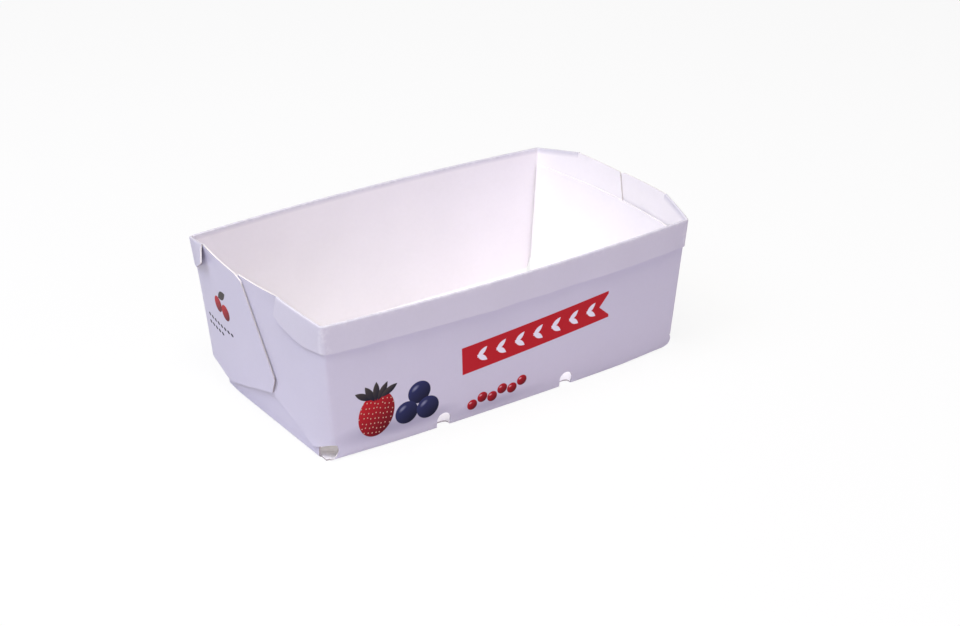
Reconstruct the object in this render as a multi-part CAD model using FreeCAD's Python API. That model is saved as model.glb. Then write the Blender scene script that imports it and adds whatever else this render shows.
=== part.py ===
import FreeCAD, Part
import math
import os

# A fruit tray folded and glued from one blank of solid board.
# Millimetres. The origin is the centre of the underside, X runs along the
# long side, Y across the tray and Z up. One long side is built and turned
# half round about Z to make the other; only the front one has vents.

# The sheet and its glued layers
card = 0.6
glue_gap = 0.12
layer_step = card + glue_gap

# The tray, measured between the corner folds on the inside of the sheet
rim_length = 180.0
rim_width = 106.0
base_length = 169.6
base_width = 101.9
height = 61.8

# How far each wall swells out at its middle
rim_long_bow = 4.2
base_long_bow = 1.6
rim_end_bow = 6.0
base_end_bow = 2.4

# Upright corner folds
corner_bend = 0.8

# The rim band is folded outwards and down over the long wall
band_height = 12.5
rim_fold_depth = 0.7

# Layer of each flap and tab, counted outwards from the end panel
under_flap_layer = 1
over_flap_layer = 2
under_tab_layer = 2
over_tab_layer = 3

# End panel that stands up from the base
panel_drop = 7.7
panel_side_clearance = 1.0

# The panel's foot is cut in at both corners, further by the over flap
under_foot_inset = 6.0
over_foot_inset = 20.0
panel_foot_height = 9.5

# Rise of the end flaps above the rim, and where along Y it is reached
flap_rise = 4.4
flap_middle_rise = 3.4

# Flap outlines: how far along the end from the corner fold, and how high
under_flap_top_end = 53.6
under_flap_waist_end = 69.0
under_flap_waist_height = 28.0
under_flap_low_start = 10.5
under_flap_low_height = 4.0
over_flap_top_end = 55.5
over_flap_slant = 4.9
over_flap_slant_drop = 1.8
over_flap_waist_end = 70.8
over_flap_waist_height = 24.5
over_flap_corner_end = 66.9
over_flap_corner_height = 17.8
over_flap_low_start = 26.7
over_flap_low_height = 4.7
over_flap_curve_end = 15.0
over_flap_curve_height = 7.6

# Tabs at the ends of the rim band: how far along the end, how deep below
# the rim their sides reach, and how far their foot rises above the band's
under_tab_top_end = 25.1
under_tab_low_end = 26.9
under_tab_side_depth = 4.0
under_tab_curve_start = 11.3
under_tab_curve_end = 21.2
under_tab_curve_rise = 4.0
over_tab_top_end = 18.6
over_tab_low_end = 22.0
over_tab_side_depth = 3.4
over_tab_slant_start = 8.4
over_tab_slant_rise = 1.2

# Cut-outs at the feet of the corners
corner_hole_height = 7.2
corner_hole_inset = 1.6
corner_hole_side = base_length / 2.0 - corner_hole_inset

# Half-round vents across the long folds of the base
vent_places = (-35.3, 27.4)
vent_width = 6.7
vent_height = 6.7
vent_depth = 2.6

# Reach of the cutting blocks beyond the tray
reach = rim_length / 3.0

# Extra sheet that is left on a strip before it is trimmed
trim_allowance = 5.0
strip_top = height + flap_rise + trim_allowance


def blend(low, high, z):
    """Size at height z of something that changes evenly up the wall."""
    return low + (high - low) * z / height


def half_length(z):
    return blend(base_length, rim_length, z) / 2.0


def half_width(z):
    return blend(base_width, rim_width, z) / 2.0


def long_bow(z):
    return blend(base_long_bow, rim_long_bow, z)


def end_bow(z):
    return blend(base_end_bow, rim_end_bow, z)


def bow_radius(half_chord, bow):
    """Radius of the arc over a chord that swells by the bow."""
    return (half_chord ** 2 + bow ** 2) / (2.0 * bow)


class Plan:
    """The inside of the tray at one height: two bowed walls that meet."""

    def __init__(self, z):
        self.z = z
        self.long_radius = bow_radius(half_length(z), long_bow(z))
        self.long_centre = self.long_radius - half_width(z) - long_bow(z)
        self.end_radius = bow_radius(half_width(z), end_bow(z))
        self.end_centre = self.end_radius - half_length(z) - end_bow(z)

    def long_y(self, x, offset):
        """Y of the front wall at x, the offset outwards of the inside."""
        radius = self.long_radius + offset
        return self.long_centre - math.sqrt(radius ** 2 - x ** 2)

    def end_x(self, y, offset):
        """X of the left end at y, the offset outwards of the inside."""
        radius = self.end_radius + offset
        return self.end_centre - math.sqrt(radius ** 2 - y ** 2)

    def bend_centre(self, long_offset, end_offset):
        """Centre of the left corner's bend, tangent inside both walls."""
        first = self.long_radius + long_offset - corner_bend
        second = self.end_radius + end_offset - corner_bend
        span = math.hypot(self.end_centre, self.long_centre)
        along = (first ** 2 - second ** 2 + span ** 2) / (2.0 * span)
        across = math.sqrt(first ** 2 - along ** 2)
        ux = self.end_centre / span
        uy = -self.long_centre / span
        return (along * ux + across * uy,
                self.long_centre + along * uy - across * ux)


def point(x, y, z):
    return FreeCAD.Vector(x, y, z)


def away(centre, through, radius):
    """The point at the radius from the centre, on the way to another."""
    span = math.hypot(through[0] - centre[0], through[1] - centre[1])
    share = radius / span
    return (centre[0] + (through[0] - centre[0]) * share,
            centre[1] + (through[1] - centre[1]) * share)


def corner_points(plan, long_offset, end_offset, extra):
    """Left corner: points on the end, round the bend and on the wall."""
    bend = plan.bend_centre(long_offset, end_offset)
    long_point = away((0.0, plan.long_centre), bend,
                      plan.long_radius + long_offset + extra)
    end_point = away((plan.end_centre, 0.0), bend,
                     plan.end_radius + end_offset + extra)
    middle = ((long_point[0] + end_point[0]) / 2.0,
              (long_point[1] + end_point[1]) / 2.0)
    return end_point, away(bend, middle, corner_bend + extra), long_point


def mirrored(points):
    return [(-x, y) for x, y in points]


def strip_path(plan, offsets, free_ends, extra):
    """Points of one face of the strip, from its left to its right end."""
    left, front, right = offsets
    path = []
    y = free_ends[0]
    bend = corner_points(plan, front, left, extra)
    middle_y = (y + bend[0][1]) / 2.0
    path.append((plan.end_x(y, left + extra), y))
    path.append((plan.end_x(middle_y, left + extra), middle_y))
    path.extend(bend)
    path.append((0.0, plan.long_y(0.0, front + extra)))
    y = free_ends[1]
    bend = mirrored(corner_points(plan, front, right, extra))
    middle_y = (y + bend[0][1]) / 2.0
    path.extend(reversed(bend))
    path.append((-plan.end_x(middle_y, right + extra), middle_y))
    path.append((-plan.end_x(y, right + extra), y))
    return path


def arcs(path, z):
    """Arcs through the path, each from one point over the next."""
    edges = []
    for start in range(0, len(path) - 2, 2):
        first, middle, last = path[start:start + 3]
        arc = Part.Arc(point(*first, z), point(*middle, z),
                       point(*last, z))
        edges.append(arc.toShape())
    return edges


def strip_wire(z, offsets, free_ends, thickness):
    """Outline at one height of a strip bent round two corners."""
    plan = Plan(z)
    inside = strip_path(plan, offsets, free_ends, 0.0)
    outside = strip_path(plan, offsets, free_ends, thickness)
    edges = arcs(outside, z)
    edges.append(Part.makeLine(point(*outside[-1], z),
                               point(*inside[-1], z)))
    edges.extend(arcs(list(reversed(inside)), z))
    edges.append(Part.makeLine(point(*inside[0], z),
                               point(*outside[0], z)))
    return Part.Wire(edges)


def strip(low, high, offsets, free_ends, thickness):
    """A standing strip of the sheet between two heights."""
    bottom = strip_wire(low, offsets, free_ends, thickness)
    top = strip_wire(high, offsets, free_ends, thickness)
    return Part.makeLoft([bottom, top], True, True)


def outline(points):
    """Closed wire through the points; a pair of points makes an arc."""
    ends = []
    for item in points:
        ends.append(item[1] if isinstance(item, tuple) else item)
    edges = []
    for index, item in enumerate(points):
        start = ends[index - 1]
        if isinstance(item, tuple):
            edges.append(Part.Arc(start, item[0], item[1]).toShape())
        else:
            edges.append(Part.makeLine(start, item))
    return Part.Wire(edges)


def end_point(place, side):
    """A distance from the corner fold and a height, set up at one end."""
    return point(side * corner_hole_side,
                 place[0] - half_width(height), place[1])


def end_block(places, side):
    """Block round one end of the tray with an outline left open in it."""
    opening = []
    for place in places:
        if isinstance(place[0], tuple):
            opening.append(tuple(end_point(item, side) for item in place))
        else:
            opening.append(end_point(place, side))
    far = rim_width + reach
    rim = [end_point((-reach, -reach), side),
           end_point((far, -reach), side),
           end_point((far, height + reach), side),
           end_point((-reach, height + reach), side)]
    face = Part.Face([outline(rim), outline(opening)])
    return face.extrude(point(side * reach, 0, 0))


def end_outline(tab_end, top, lower, corner_height):
    """Outline with the shared rise from the corner to the tab's end."""
    beside = trim_allowance - reach
    foot = half_width(height) - half_width(corner_height) + corner_bend
    points = [(beside, height), (corner_bend, height),
              (tab_end, height + flap_rise)]
    points.extend(top)
    points.extend(lower)
    points.append((foot, corner_height))
    points.append((beside, corner_height))
    return points


def under_flap_outline():
    top = [(under_flap_top_end, height + flap_middle_rise)]
    lower = [(under_flap_waist_end, under_flap_waist_height),
             (under_flap_low_start, under_flap_low_height)]
    return end_outline(under_tab_top_end, top, lower, corner_hole_height)


def over_flap_outline():
    top_height = height + flap_middle_rise
    top = [(over_flap_top_end - over_flap_slant, top_height),
           (over_flap_top_end, top_height - over_flap_slant_drop)]
    lower = [(over_flap_waist_end, over_flap_waist_height),
             (over_flap_corner_end, over_flap_corner_height),
             (over_flap_low_start, over_flap_low_height),
             (over_flap_curve_end, over_flap_curve_height)]
    return end_outline(over_tab_top_end, top, lower, corner_hole_height)


def under_tab_outline():
    band_low = height - band_height
    side = (under_tab_low_end, height - under_tab_side_depth)
    curve = ((under_tab_curve_end, band_low + under_tab_curve_rise),
             (under_tab_curve_start, band_low))
    return end_outline(under_tab_top_end, [], [side, curve], band_low)


def over_tab_outline():
    band_low = height - band_height
    lower = [(over_tab_low_end, height - over_tab_side_depth),
             (over_tab_slant_start, band_low + over_tab_slant_rise)]
    return end_outline(over_tab_top_end, [], lower, band_low)


def fold_outline(tab_end):
    """The rim fold itself, rising over a tab."""
    low = height + flap_rise - rim_fold_depth
    return end_outline(tab_end, [], [(tab_end, low)],
                       height - rim_fold_depth)


def middle_block(low, high):
    """Block between the two ends of the tray."""
    across = rim_width + reach
    return Part.makeBox(2.0 * corner_hole_side, across, high - low,
                        point(-corner_hole_side, -across, low))


def trimmed(sheet, low, left, right):
    """Sheet cut to the rim, to its lower edge and to both end outlines."""
    sheet = sheet.cut(middle_block(height, height + reach))
    if low > 0.0:
        sheet = sheet.cut(middle_block(-reach, low))
    sheet = sheet.cut(end_block(left, -1))
    return sheet.cut(end_block(right, 1))


def layered(front, left_layer, right_layer):
    """Offsets from the inside of the tray for a strip's three parts."""
    return left_layer * layer_step, front, right_layer * layer_step


def free_ends(left_end, right_end):
    """Y of a strip's two free ends, before they are trimmed."""
    start = trim_allowance - half_width(height)
    return left_end + start, right_end + start


def vent(x):
    """Half-round cutter across the fold under the front wall."""
    radius = vent_width / 2.0
    crown = vent_height - radius
    start = Plan(0.0).long_y(x, 0.0) + vent_depth
    points = [point(x - radius, start, -reach),
              point(x + radius, start, -reach),
              point(x + radius, start, crown),
              (point(x, start, vent_height), point(x - radius, start, crown))]
    return Part.Face(outline(points)).extrude(point(0, -reach, 0))


def long_wall():
    """Front wall with the under flap on its left, the over flap right."""
    offsets = layered(0.0, under_flap_layer, over_flap_layer)
    ends = free_ends(under_flap_waist_end, over_flap_waist_end)
    sheet = strip(0.0, strip_top, offsets, ends, card)
    return trimmed(sheet, 0.0, under_flap_outline(), over_flap_outline())


def rim_band():
    """Band outside the front wall with a tab round each corner."""
    offsets = layered(layer_step, under_tab_layer, over_tab_layer)
    ends = free_ends(under_tab_low_end, over_tab_low_end)
    low = height - band_height
    sheet = strip(low - trim_allowance, strip_top, offsets, ends, card)
    return trimmed(sheet, low, under_tab_outline(), over_tab_outline())


def rim_fold():
    """The fold that joins the wall and its flaps to the band.

    It fills from the middle of the inner sheet to that of the outer.
    """
    half_card = card / 2.0
    layers = layered(0.0, under_flap_layer, over_flap_layer)
    offsets = [offset + half_card for offset in layers]
    ends = free_ends(under_tab_low_end, over_tab_low_end)
    low = height - rim_fold_depth
    sheet = strip(low - trim_allowance, strip_top, offsets, ends,
                  layer_step)
    return trimmed(sheet, low, fold_outline(under_tab_top_end),
                   fold_outline(over_tab_top_end))


def vented(sheet):
    """The sheet with the vents cut through the front fold."""
    for x in vent_places:
        sheet = sheet.cut(vent(x))
    return sheet


def long_side():
    """One long side of the tray, its flaps and its band folded."""
    return long_wall().fuse([rim_band(), rim_fold()])


def end_panel():
    """Left end panel, standing on the base inside the flaps."""
    wires = []
    for z in (0.0, height - panel_drop):
        plan = Plan(z)
        side = half_width(z) - panel_side_clearance
        outside = [(plan.end_x(y, card), y) for y in (-side, 0.0, side)]
        inside = [(plan.end_x(y, 0.0), y) for y in (side, 0.0, -side)]
        edges = arcs(outside, z)
        edges.append(Part.makeLine(point(*outside[-1], z),
                                   point(*inside[0], z)))
        edges.extend(arcs(inside, z))
        edges.append(Part.makeLine(point(*inside[-1], z),
                                   point(*outside[0], z)))
        wires.append(Part.Wire(edges))
    panel = Part.makeLoft(wires, True, True)
    for side, inset in ((-1, under_foot_inset), (1, over_foot_inset)):
        corner = side * (half_width(0.0) - inset)
        box = Part.makeBox(reach, reach, panel_foot_height + reach,
                           point(-corner_hole_side - reach,
                                 min(corner, corner + side * reach),
                                 -reach))
        panel = panel.cut(box)
    return panel


def base():
    """Bottom of the tray, bowed along its folds."""
    plan = Plan(0.0)
    half_card = card / 2.0
    under_foot = half_width(0.0) - under_foot_inset
    over_foot = half_width(0.0) - over_foot_inset
    side = corner_hole_side
    fold = plan.long_y(side, half_card)
    middle = plan.long_y(0.0, half_card)
    far = plan.end_x(over_foot, half_card)
    end = plan.end_x(0.0, half_card)
    near = plan.end_x(under_foot, half_card)
    points = [point(near, -under_foot, 0), point(-side, fold, 0),
              (point(0, middle, 0), point(side, fold, 0)),
              point(-far, -over_foot, 0),
              (point(-end, 0, 0), point(-near, under_foot, 0)),
              point(side, -fold, 0),
              (point(0, -middle, 0), point(-side, -fold, 0)),
              point(far, over_foot, 0),
              (point(end, 0, 0), point(near, -under_foot, 0))]
    return Part.Face(outline(points[1:])).extrude(point(0, 0, card))


def half_turn(shape):
    """The shape turned half round about the upright axis."""
    copy = shape.copy()
    copy.rotate(point(0, 0, 0), point(0, 0, 1), 180.0)
    return copy


def tray():
    """The whole blank, folded and glued."""
    side = long_side()
    panel = end_panel()
    whole = vented(base()).fuse([vented(side), half_turn(side), panel,
                                 half_turn(panel)])
    return whole.removeSplitter()


os.makedirs("parts", exist_ok=True)
tray_blank = tray().Solids[0]
tray_blank.exportStep("parts/tray_blank.step")
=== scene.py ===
import logging
import math
from dataclasses import dataclass, field, replace
from enum import Enum
from typing import Callable, Dict, List, Optional, Sequence, Tuple

import bpy
import numpy as np
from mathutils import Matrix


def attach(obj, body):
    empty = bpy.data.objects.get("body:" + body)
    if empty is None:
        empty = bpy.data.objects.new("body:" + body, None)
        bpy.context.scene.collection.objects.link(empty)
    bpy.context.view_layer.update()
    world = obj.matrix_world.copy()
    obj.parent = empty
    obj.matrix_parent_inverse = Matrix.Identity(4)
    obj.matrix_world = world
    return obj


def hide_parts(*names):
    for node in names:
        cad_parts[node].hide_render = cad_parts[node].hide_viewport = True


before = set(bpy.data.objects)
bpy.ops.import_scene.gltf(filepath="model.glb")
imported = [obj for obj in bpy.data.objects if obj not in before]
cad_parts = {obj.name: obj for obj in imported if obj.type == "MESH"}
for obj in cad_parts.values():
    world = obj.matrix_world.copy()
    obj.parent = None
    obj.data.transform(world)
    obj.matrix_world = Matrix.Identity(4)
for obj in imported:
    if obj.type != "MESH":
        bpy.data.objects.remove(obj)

# A fruit tray folded from one blank of solid board, seen as it stands on a
# pale table. Sizes below are in millimetres, as in the part's source, and
# turn into metres when a mesh is made.

LOG = logging.getLogger("tray")
MILLIMETRE = 0.001
TRAY_NODE = "tray_blank"

SLANT = 1.006           # length of the sheet for each unit of height
BLANK_SPAN = 500.0      # width of the flat plan that the UV covers
FOLD_TRAVEL = 1.45      # travel round a fold for each unit of its radius
LEAN_SPAN = 20.0        # height over which a wall's lean is measured
DRIFT_FROM = 42.0       # X from which the grid drifts to the ends' rows
DRIFT_SPAN = 40.0       # and the length over which it does
CREASE = 1.3            # reach of the wear beside an upright fold
RIM_CREASE = 1.2        # and beside the rim fold
TAB_SLIT = 0.02         # slit that parts a flap's top from its tab's fold

Array = np.ndarray
Place = Tuple[float, float]
Colour = Tuple[float, float, float]
Socket = bpy.types.NodeSocket


class Face(Enum):
    """The three surfaces of the board, in the order of their materials."""

    COATED = 0
    INSIDE = 1
    CUT_EDGE = 2


def smooth_step(low: float, high: float, value: Array) -> Array:
    """Rise smoothly from 0 to 1 between two values: 3t^2 - 2t^3.

    Args:
        low: Where the rise begins.
        high: Where it ends.
        value: Values to map.

    Returns:
        The share of the rise at each value.
    """
    t = np.clip((value - low) / (high - low), 0.0, 1.0)
    return t * t * (3.0 - 2.0 * t)


def ripple(value: Array, lengths: Sequence[float], phase: float) -> Array:
    """Gentle unevenness along a line: the mean of sines of given lengths.

    Args:
        value: Distance along the line in millimetres.
        lengths: Wave lengths in millimetres.
        phase: Where the waves start, in radians.

    Returns:
        Values between -1 and 1.
    """
    waves = [np.sin(2.0 * math.pi * value / length + phase * (i + 1.3))
             for i, length in enumerate(lengths)]
    return sum(waves) / len(lengths)


def drift(x: Array) -> Array:
    """How much a column follows the rows of the end that lies at +X."""
    return np.clip((x - DRIFT_FROM) / DRIFT_SPAN, 0.0, 1.0)


def round_fold(travel: Array, radius: Array, lean: Array, mid: float
               ) -> Tuple[Array, Array, Array]:
    """Sheet that turns up off the table: a round r, then a slope.

    It turns by the quarter less the lean, with r sin a and r (1 - cos a)
    after the angle a, and then climbs straight.

    Args:
        travel: Distance along the sheet from the table.
        radius: Radius of the round.
        lean: Angle by which the slope leans out, in radians.
        mid: Height at which the sheet lies on the table.

    Returns:
        Reach out from the round's centre, height, and whether each
        point is on the slope.
    """
    turn = math.pi / 2.0 - lean
    angle = np.clip(travel / radius, 0.0, turn)
    rest = np.maximum(travel - radius * turn, 0.0)
    z = mid + radius - radius * np.cos(angle) + rest * np.cos(lean)
    return radius * np.sin(angle), z, rest > 0.0


def along_outline(places: Sequence[Place], count: int) -> Array:
    """Spread points evenly over an outline and keep its corners.

    Each stretch between two places gets points in proportion to its
    length, at least one.

    Args:
        places: Corners of the outline.
        count: About how many stretches of grid to make.

    Returns:
        Points as an array of shape (n, 2).
    """
    corners = np.asarray(places, float)
    spans = np.hypot(*np.diff(corners, axis=0).T)
    shares = np.maximum(1, np.rint(count * spans / spans.sum())).astype(int)
    runs = [np.linspace(a, b, n, endpoint=False)
            for a, b, n in zip(corners[:-1], corners[1:], shares)]
    return np.vstack(runs + [corners[-1:]])


def at_shares(places: Sequence[Place], count: int, shares: Array) -> Array:
    """Points at given shares of an outline's length.

    Args:
        places: Corners of the outline.
        count: About how many stretches to measure it in.
        shares: Shares of the length, from 0 to 1.

    Returns:
        Points as an array of shape (n, 2).
    """
    fine = along_outline(places, count)
    steps = np.hypot(*np.diff(fine, axis=0).T)
    walk = np.concatenate([[0.0], np.cumsum(steps)])
    return np.stack([np.interp(shares * walk[-1], walk, fine[:, i])
                     for i in (0, 1)], -1)


@dataclass(frozen=True)
class Patch:
    """One stretch of the sheet: a grid of points and where they lie flat.

    Attributes:
        points: Middle of the sheet, (rows, columns, 3), in millimetres.
        flat: Place on the flat blank, (rows, columns, 2).
        fold: How near a fold each point is, from 0 to 1.
        band: 1 on the rim band and its tabs, 0 elsewhere.
    """

    points: Array
    flat: Array
    fold: Array
    band: float = 0.0

    def half_turned(self) -> "Patch":
        """The patch turned half round about the upright axis."""
        return replace(self, points=self.points * (-1.0, -1.0, 1.0),
                       flat=-self.flat)

    def moved(self, step: Callable[[Array, Array, Array], Array]
              ) -> "Patch":
        """The patch moved along X.

        Args:
            step: Gives the step for X, Y and Z of the points.

        Returns:
            The moved patch.
        """
        points = self.points.copy()
        points[..., 0] += step(*np.moveaxis(self.points, -1, 0))
        return replace(self, points=points)


@dataclass(frozen=True)
class TrayPlan:
    """Inside of the tray at any height: bowed walls that meet at folds.

    Each wall is an arc in plan. Its chord grows evenly from the base to
    the rim, so every function takes whole arrays of heights.

    Attributes:
        rim_length: Between the corner folds at the rim.
        rim_width: The same across the tray.
        base_length: Between the end folds at the base.
        base_width: Between the corners of the long folds at the base.
        height: Height of the rim at its corners.
        rim_long_bow: How far the long walls swell out at the rim.
        base_long_bow: The same at the base.
        rim_end_bow: How far the ends swell out at the rim.
        base_end_bow: The same at the base.
        corner_bend: Inner radius of the upright corner folds.
        card: Thickness of the board.
        layer_step: From one glued layer to the next.
        lean: How far the base stands off the rim's middle, to the left.
        corner_squeeze: How far the back left corner's foot is drawn in.
    """

    rim_length: float = 180.0
    rim_width: float = 106.0
    base_length: float = 169.6
    base_width: float = 101.9
    height: float = 61.8
    rim_long_bow: float = 4.2
    base_long_bow: float = 1.6
    rim_end_bow: float = 6.0
    base_end_bow: float = 2.4
    corner_bend: float = 0.8
    card: float = 0.6
    layer_step: float = 0.72
    lean: float = 2.1
    corner_squeeze: float = 2.2

    @property
    def flat_side(self) -> float:
        """Place of the long folds on the flat blank."""
        return self.base_width / 2.0 + self.base_long_bow

    @property
    def mid(self) -> float:
        """From either face of the board to its middle."""
        return self.card / 2.0

    def _grown(self, base: float, rim: float, z: Array) -> Array:
        """A size at height z that changes evenly from base to rim."""
        return base + (rim - base) * z / self.height

    def fade(self, z: Array) -> Array:
        """Share that falls evenly from 1 at the table to 0 at the rim."""
        return np.clip(1.0 - z / self.height, 0.0, 1.0)

    def half_length(self, z: Array) -> Array:
        """Half the length between the corner folds at height z."""
        return self._grown(self.base_length, self.rim_length, z) / 2.0

    def half_width(self, z: Array) -> Array:
        """Half the width between the corner folds at height z."""
        return self._grown(self.base_width, self.rim_width, z) / 2.0

    @staticmethod
    def _arc(chord: Array, bow: Array, reach: Array) -> Tuple[Array, Array]:
        """Arc over half a chord c with bow b: its radius (c^2 + b^2) / 2b.

        Args:
            chord: Half the length of the chord.
            bow: How far the arc swells out of it.
            reach: Distance of the chord from the tray's middle.

        Returns:
            The radius, and the place of the centre.
        """
        radius = (chord ** 2 + bow ** 2) / (2.0 * bow)
        return radius, radius - reach - bow

    def long_arc(self, z: Array) -> Tuple[Array, Array]:
        """Radius of the front wall's arc, and its centre's Y."""
        bow = self._grown(self.base_long_bow, self.rim_long_bow, z)
        return self._arc(self.half_length(z), bow, self.half_width(z))

    def end_arc(self, z: Array) -> Tuple[Array, Array]:
        """Radius of the left end's arc, and its centre's X."""
        bow = self._grown(self.base_end_bow, self.rim_end_bow, z)
        return self._arc(self.half_width(z), bow, self.half_length(z))

    def long_y(self, x: Array, z: Array, offset: Array) -> Array:
        """Y of the front wall, the offset outwards of its inside."""
        radius, centre = self.long_arc(z)
        return centre - np.sqrt((radius + offset) ** 2 - x ** 2)

    def end_x(self, y: Array, z: Array, offset: Array) -> Array:
        """X of the left end, the offset outwards of its inside."""
        radius, centre = self.end_arc(z)
        return centre - np.sqrt((radius + offset) ** 2 - y ** 2)

    def settling(self, x: Array, y: Array, z: Array) -> Array:
        """How far the foot of an end has moved along the tray.

        With t the share of the way across and h the height, the left
        end moves by -(a + b t^2)(1 - t^n)(1 - z/h), which makes its
        foot straight, and the right end by -a (1 - t^6)(1 - z/h).

        Args:
            x: X of the points.
            y: Y of the points.
            z: Z of the points.

        Returns:
            The step along X, 0 at the corners and at the rim.
        """
        t = np.clip(np.abs(y) / self.half_width(z), 0.0, 1.0)
        sharp = 12.0 + 40.0 * np.clip(1.0 - z / 7.0, 0.0, 1.0)
        left = (self.lean + self.base_end_bow * t ** 2) * (1.0 - t ** sharp)
        right = self.lean * (1.0 - t ** 6)
        return -self.fade(z) * np.where(x < 0.0, left, right)

    def squeeze(self, x: Array, y: Array, z: Array) -> Array:
        """How far the foot of the back left corner is drawn in.

        It is s(y) s(x) (1 - z/h) times the most, with s smooth steps
        towards the corner.

        Args:
            x: X of the points.
            y: Y of the points.
            z: Z of the points.

        Returns:
            The step along X.
        """
        across = smooth_step(0.35, 1.0, y / self.half_width(z))
        along = smooth_step(30.0, 80.0, -x)
        return self.corner_squeeze * across * along * self.fade(z)

    def bend(self, z: Array, end_offset: float, turn: Array,
             extra: Array) -> Tuple[Array, Array]:
        """Points round the front left corner's bend.

        The bend is a circle tangent inside both walls. Its centre is
        where two circles cross, and turn runs from 0 at the end to 1 at
        the long wall.

        Args:
            z: Heights.
            end_offset: How far out the end's sheet lies.
            turn: Share of the bend, of a shape that spreads over z.
            extra: How far out of the bend's inside the points lie.

        Returns:
            X and Y of the points.
        """
        long_radius, long_centre = self.long_arc(z)
        end_radius, end_centre = self.end_arc(z)
        first = long_radius - self.corner_bend
        second = end_radius + end_offset - self.corner_bend
        span = np.hypot(end_centre, long_centre)
        along = (first ** 2 - second ** 2 + span ** 2) / (2.0 * span)
        across = np.sqrt(first ** 2 - along ** 2)
        ux = end_centre / span
        uy = -long_centre / span
        cx = along * ux + across * uy
        cy = long_centre + along * uy - across * ux
        end_angle = np.arctan2(cy, cx - end_centre) % (2.0 * math.pi)
        long_angle = np.arctan2(cy - long_centre, cx) % (2.0 * math.pi)
        angle = end_angle + (long_angle - end_angle) * turn
        radius = self.corner_bend + extra
        return cx + radius * np.cos(angle), cy + radius * np.sin(angle)


@dataclass(frozen=True)
class Slack:
    """How far glued pieces stand off on one long side, in millimetres.

    Attributes:
        over_tab: The short tab's free edge.
        under_tab: The long tab's free edge.
        over_flap: The over flap's free edge and foot.
        under_flap: The under flap's foot.
        band: The band's lower edge.
    """

    over_tab: float = 0.6
    under_tab: float = 1.0
    over_flap: float = 0.3
    under_flap: float = 0.35
    band: float = 1.1


@dataclass(frozen=True)
class FlapOutline:
    """A flap or tab by the ends of its columns, from the corner outwards.

    Places are distances along the end from the corner fold, and heights.

    Attributes:
        over_tab: Top places as far as the tab's end.
        top: The other top places, from the tab's end on.
        foot: Places of the flap's lower edge, corner to free end.
        tab_foot: Places of the tab's lower edge, corner to free end.
        tab_share: Share of the foot that lies under the tab.
    """

    over_tab: Sequence[Place]
    top: Sequence[Place]
    foot: Sequence[Place]
    tab_foot: Sequence[Place]
    tab_share: float


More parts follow.
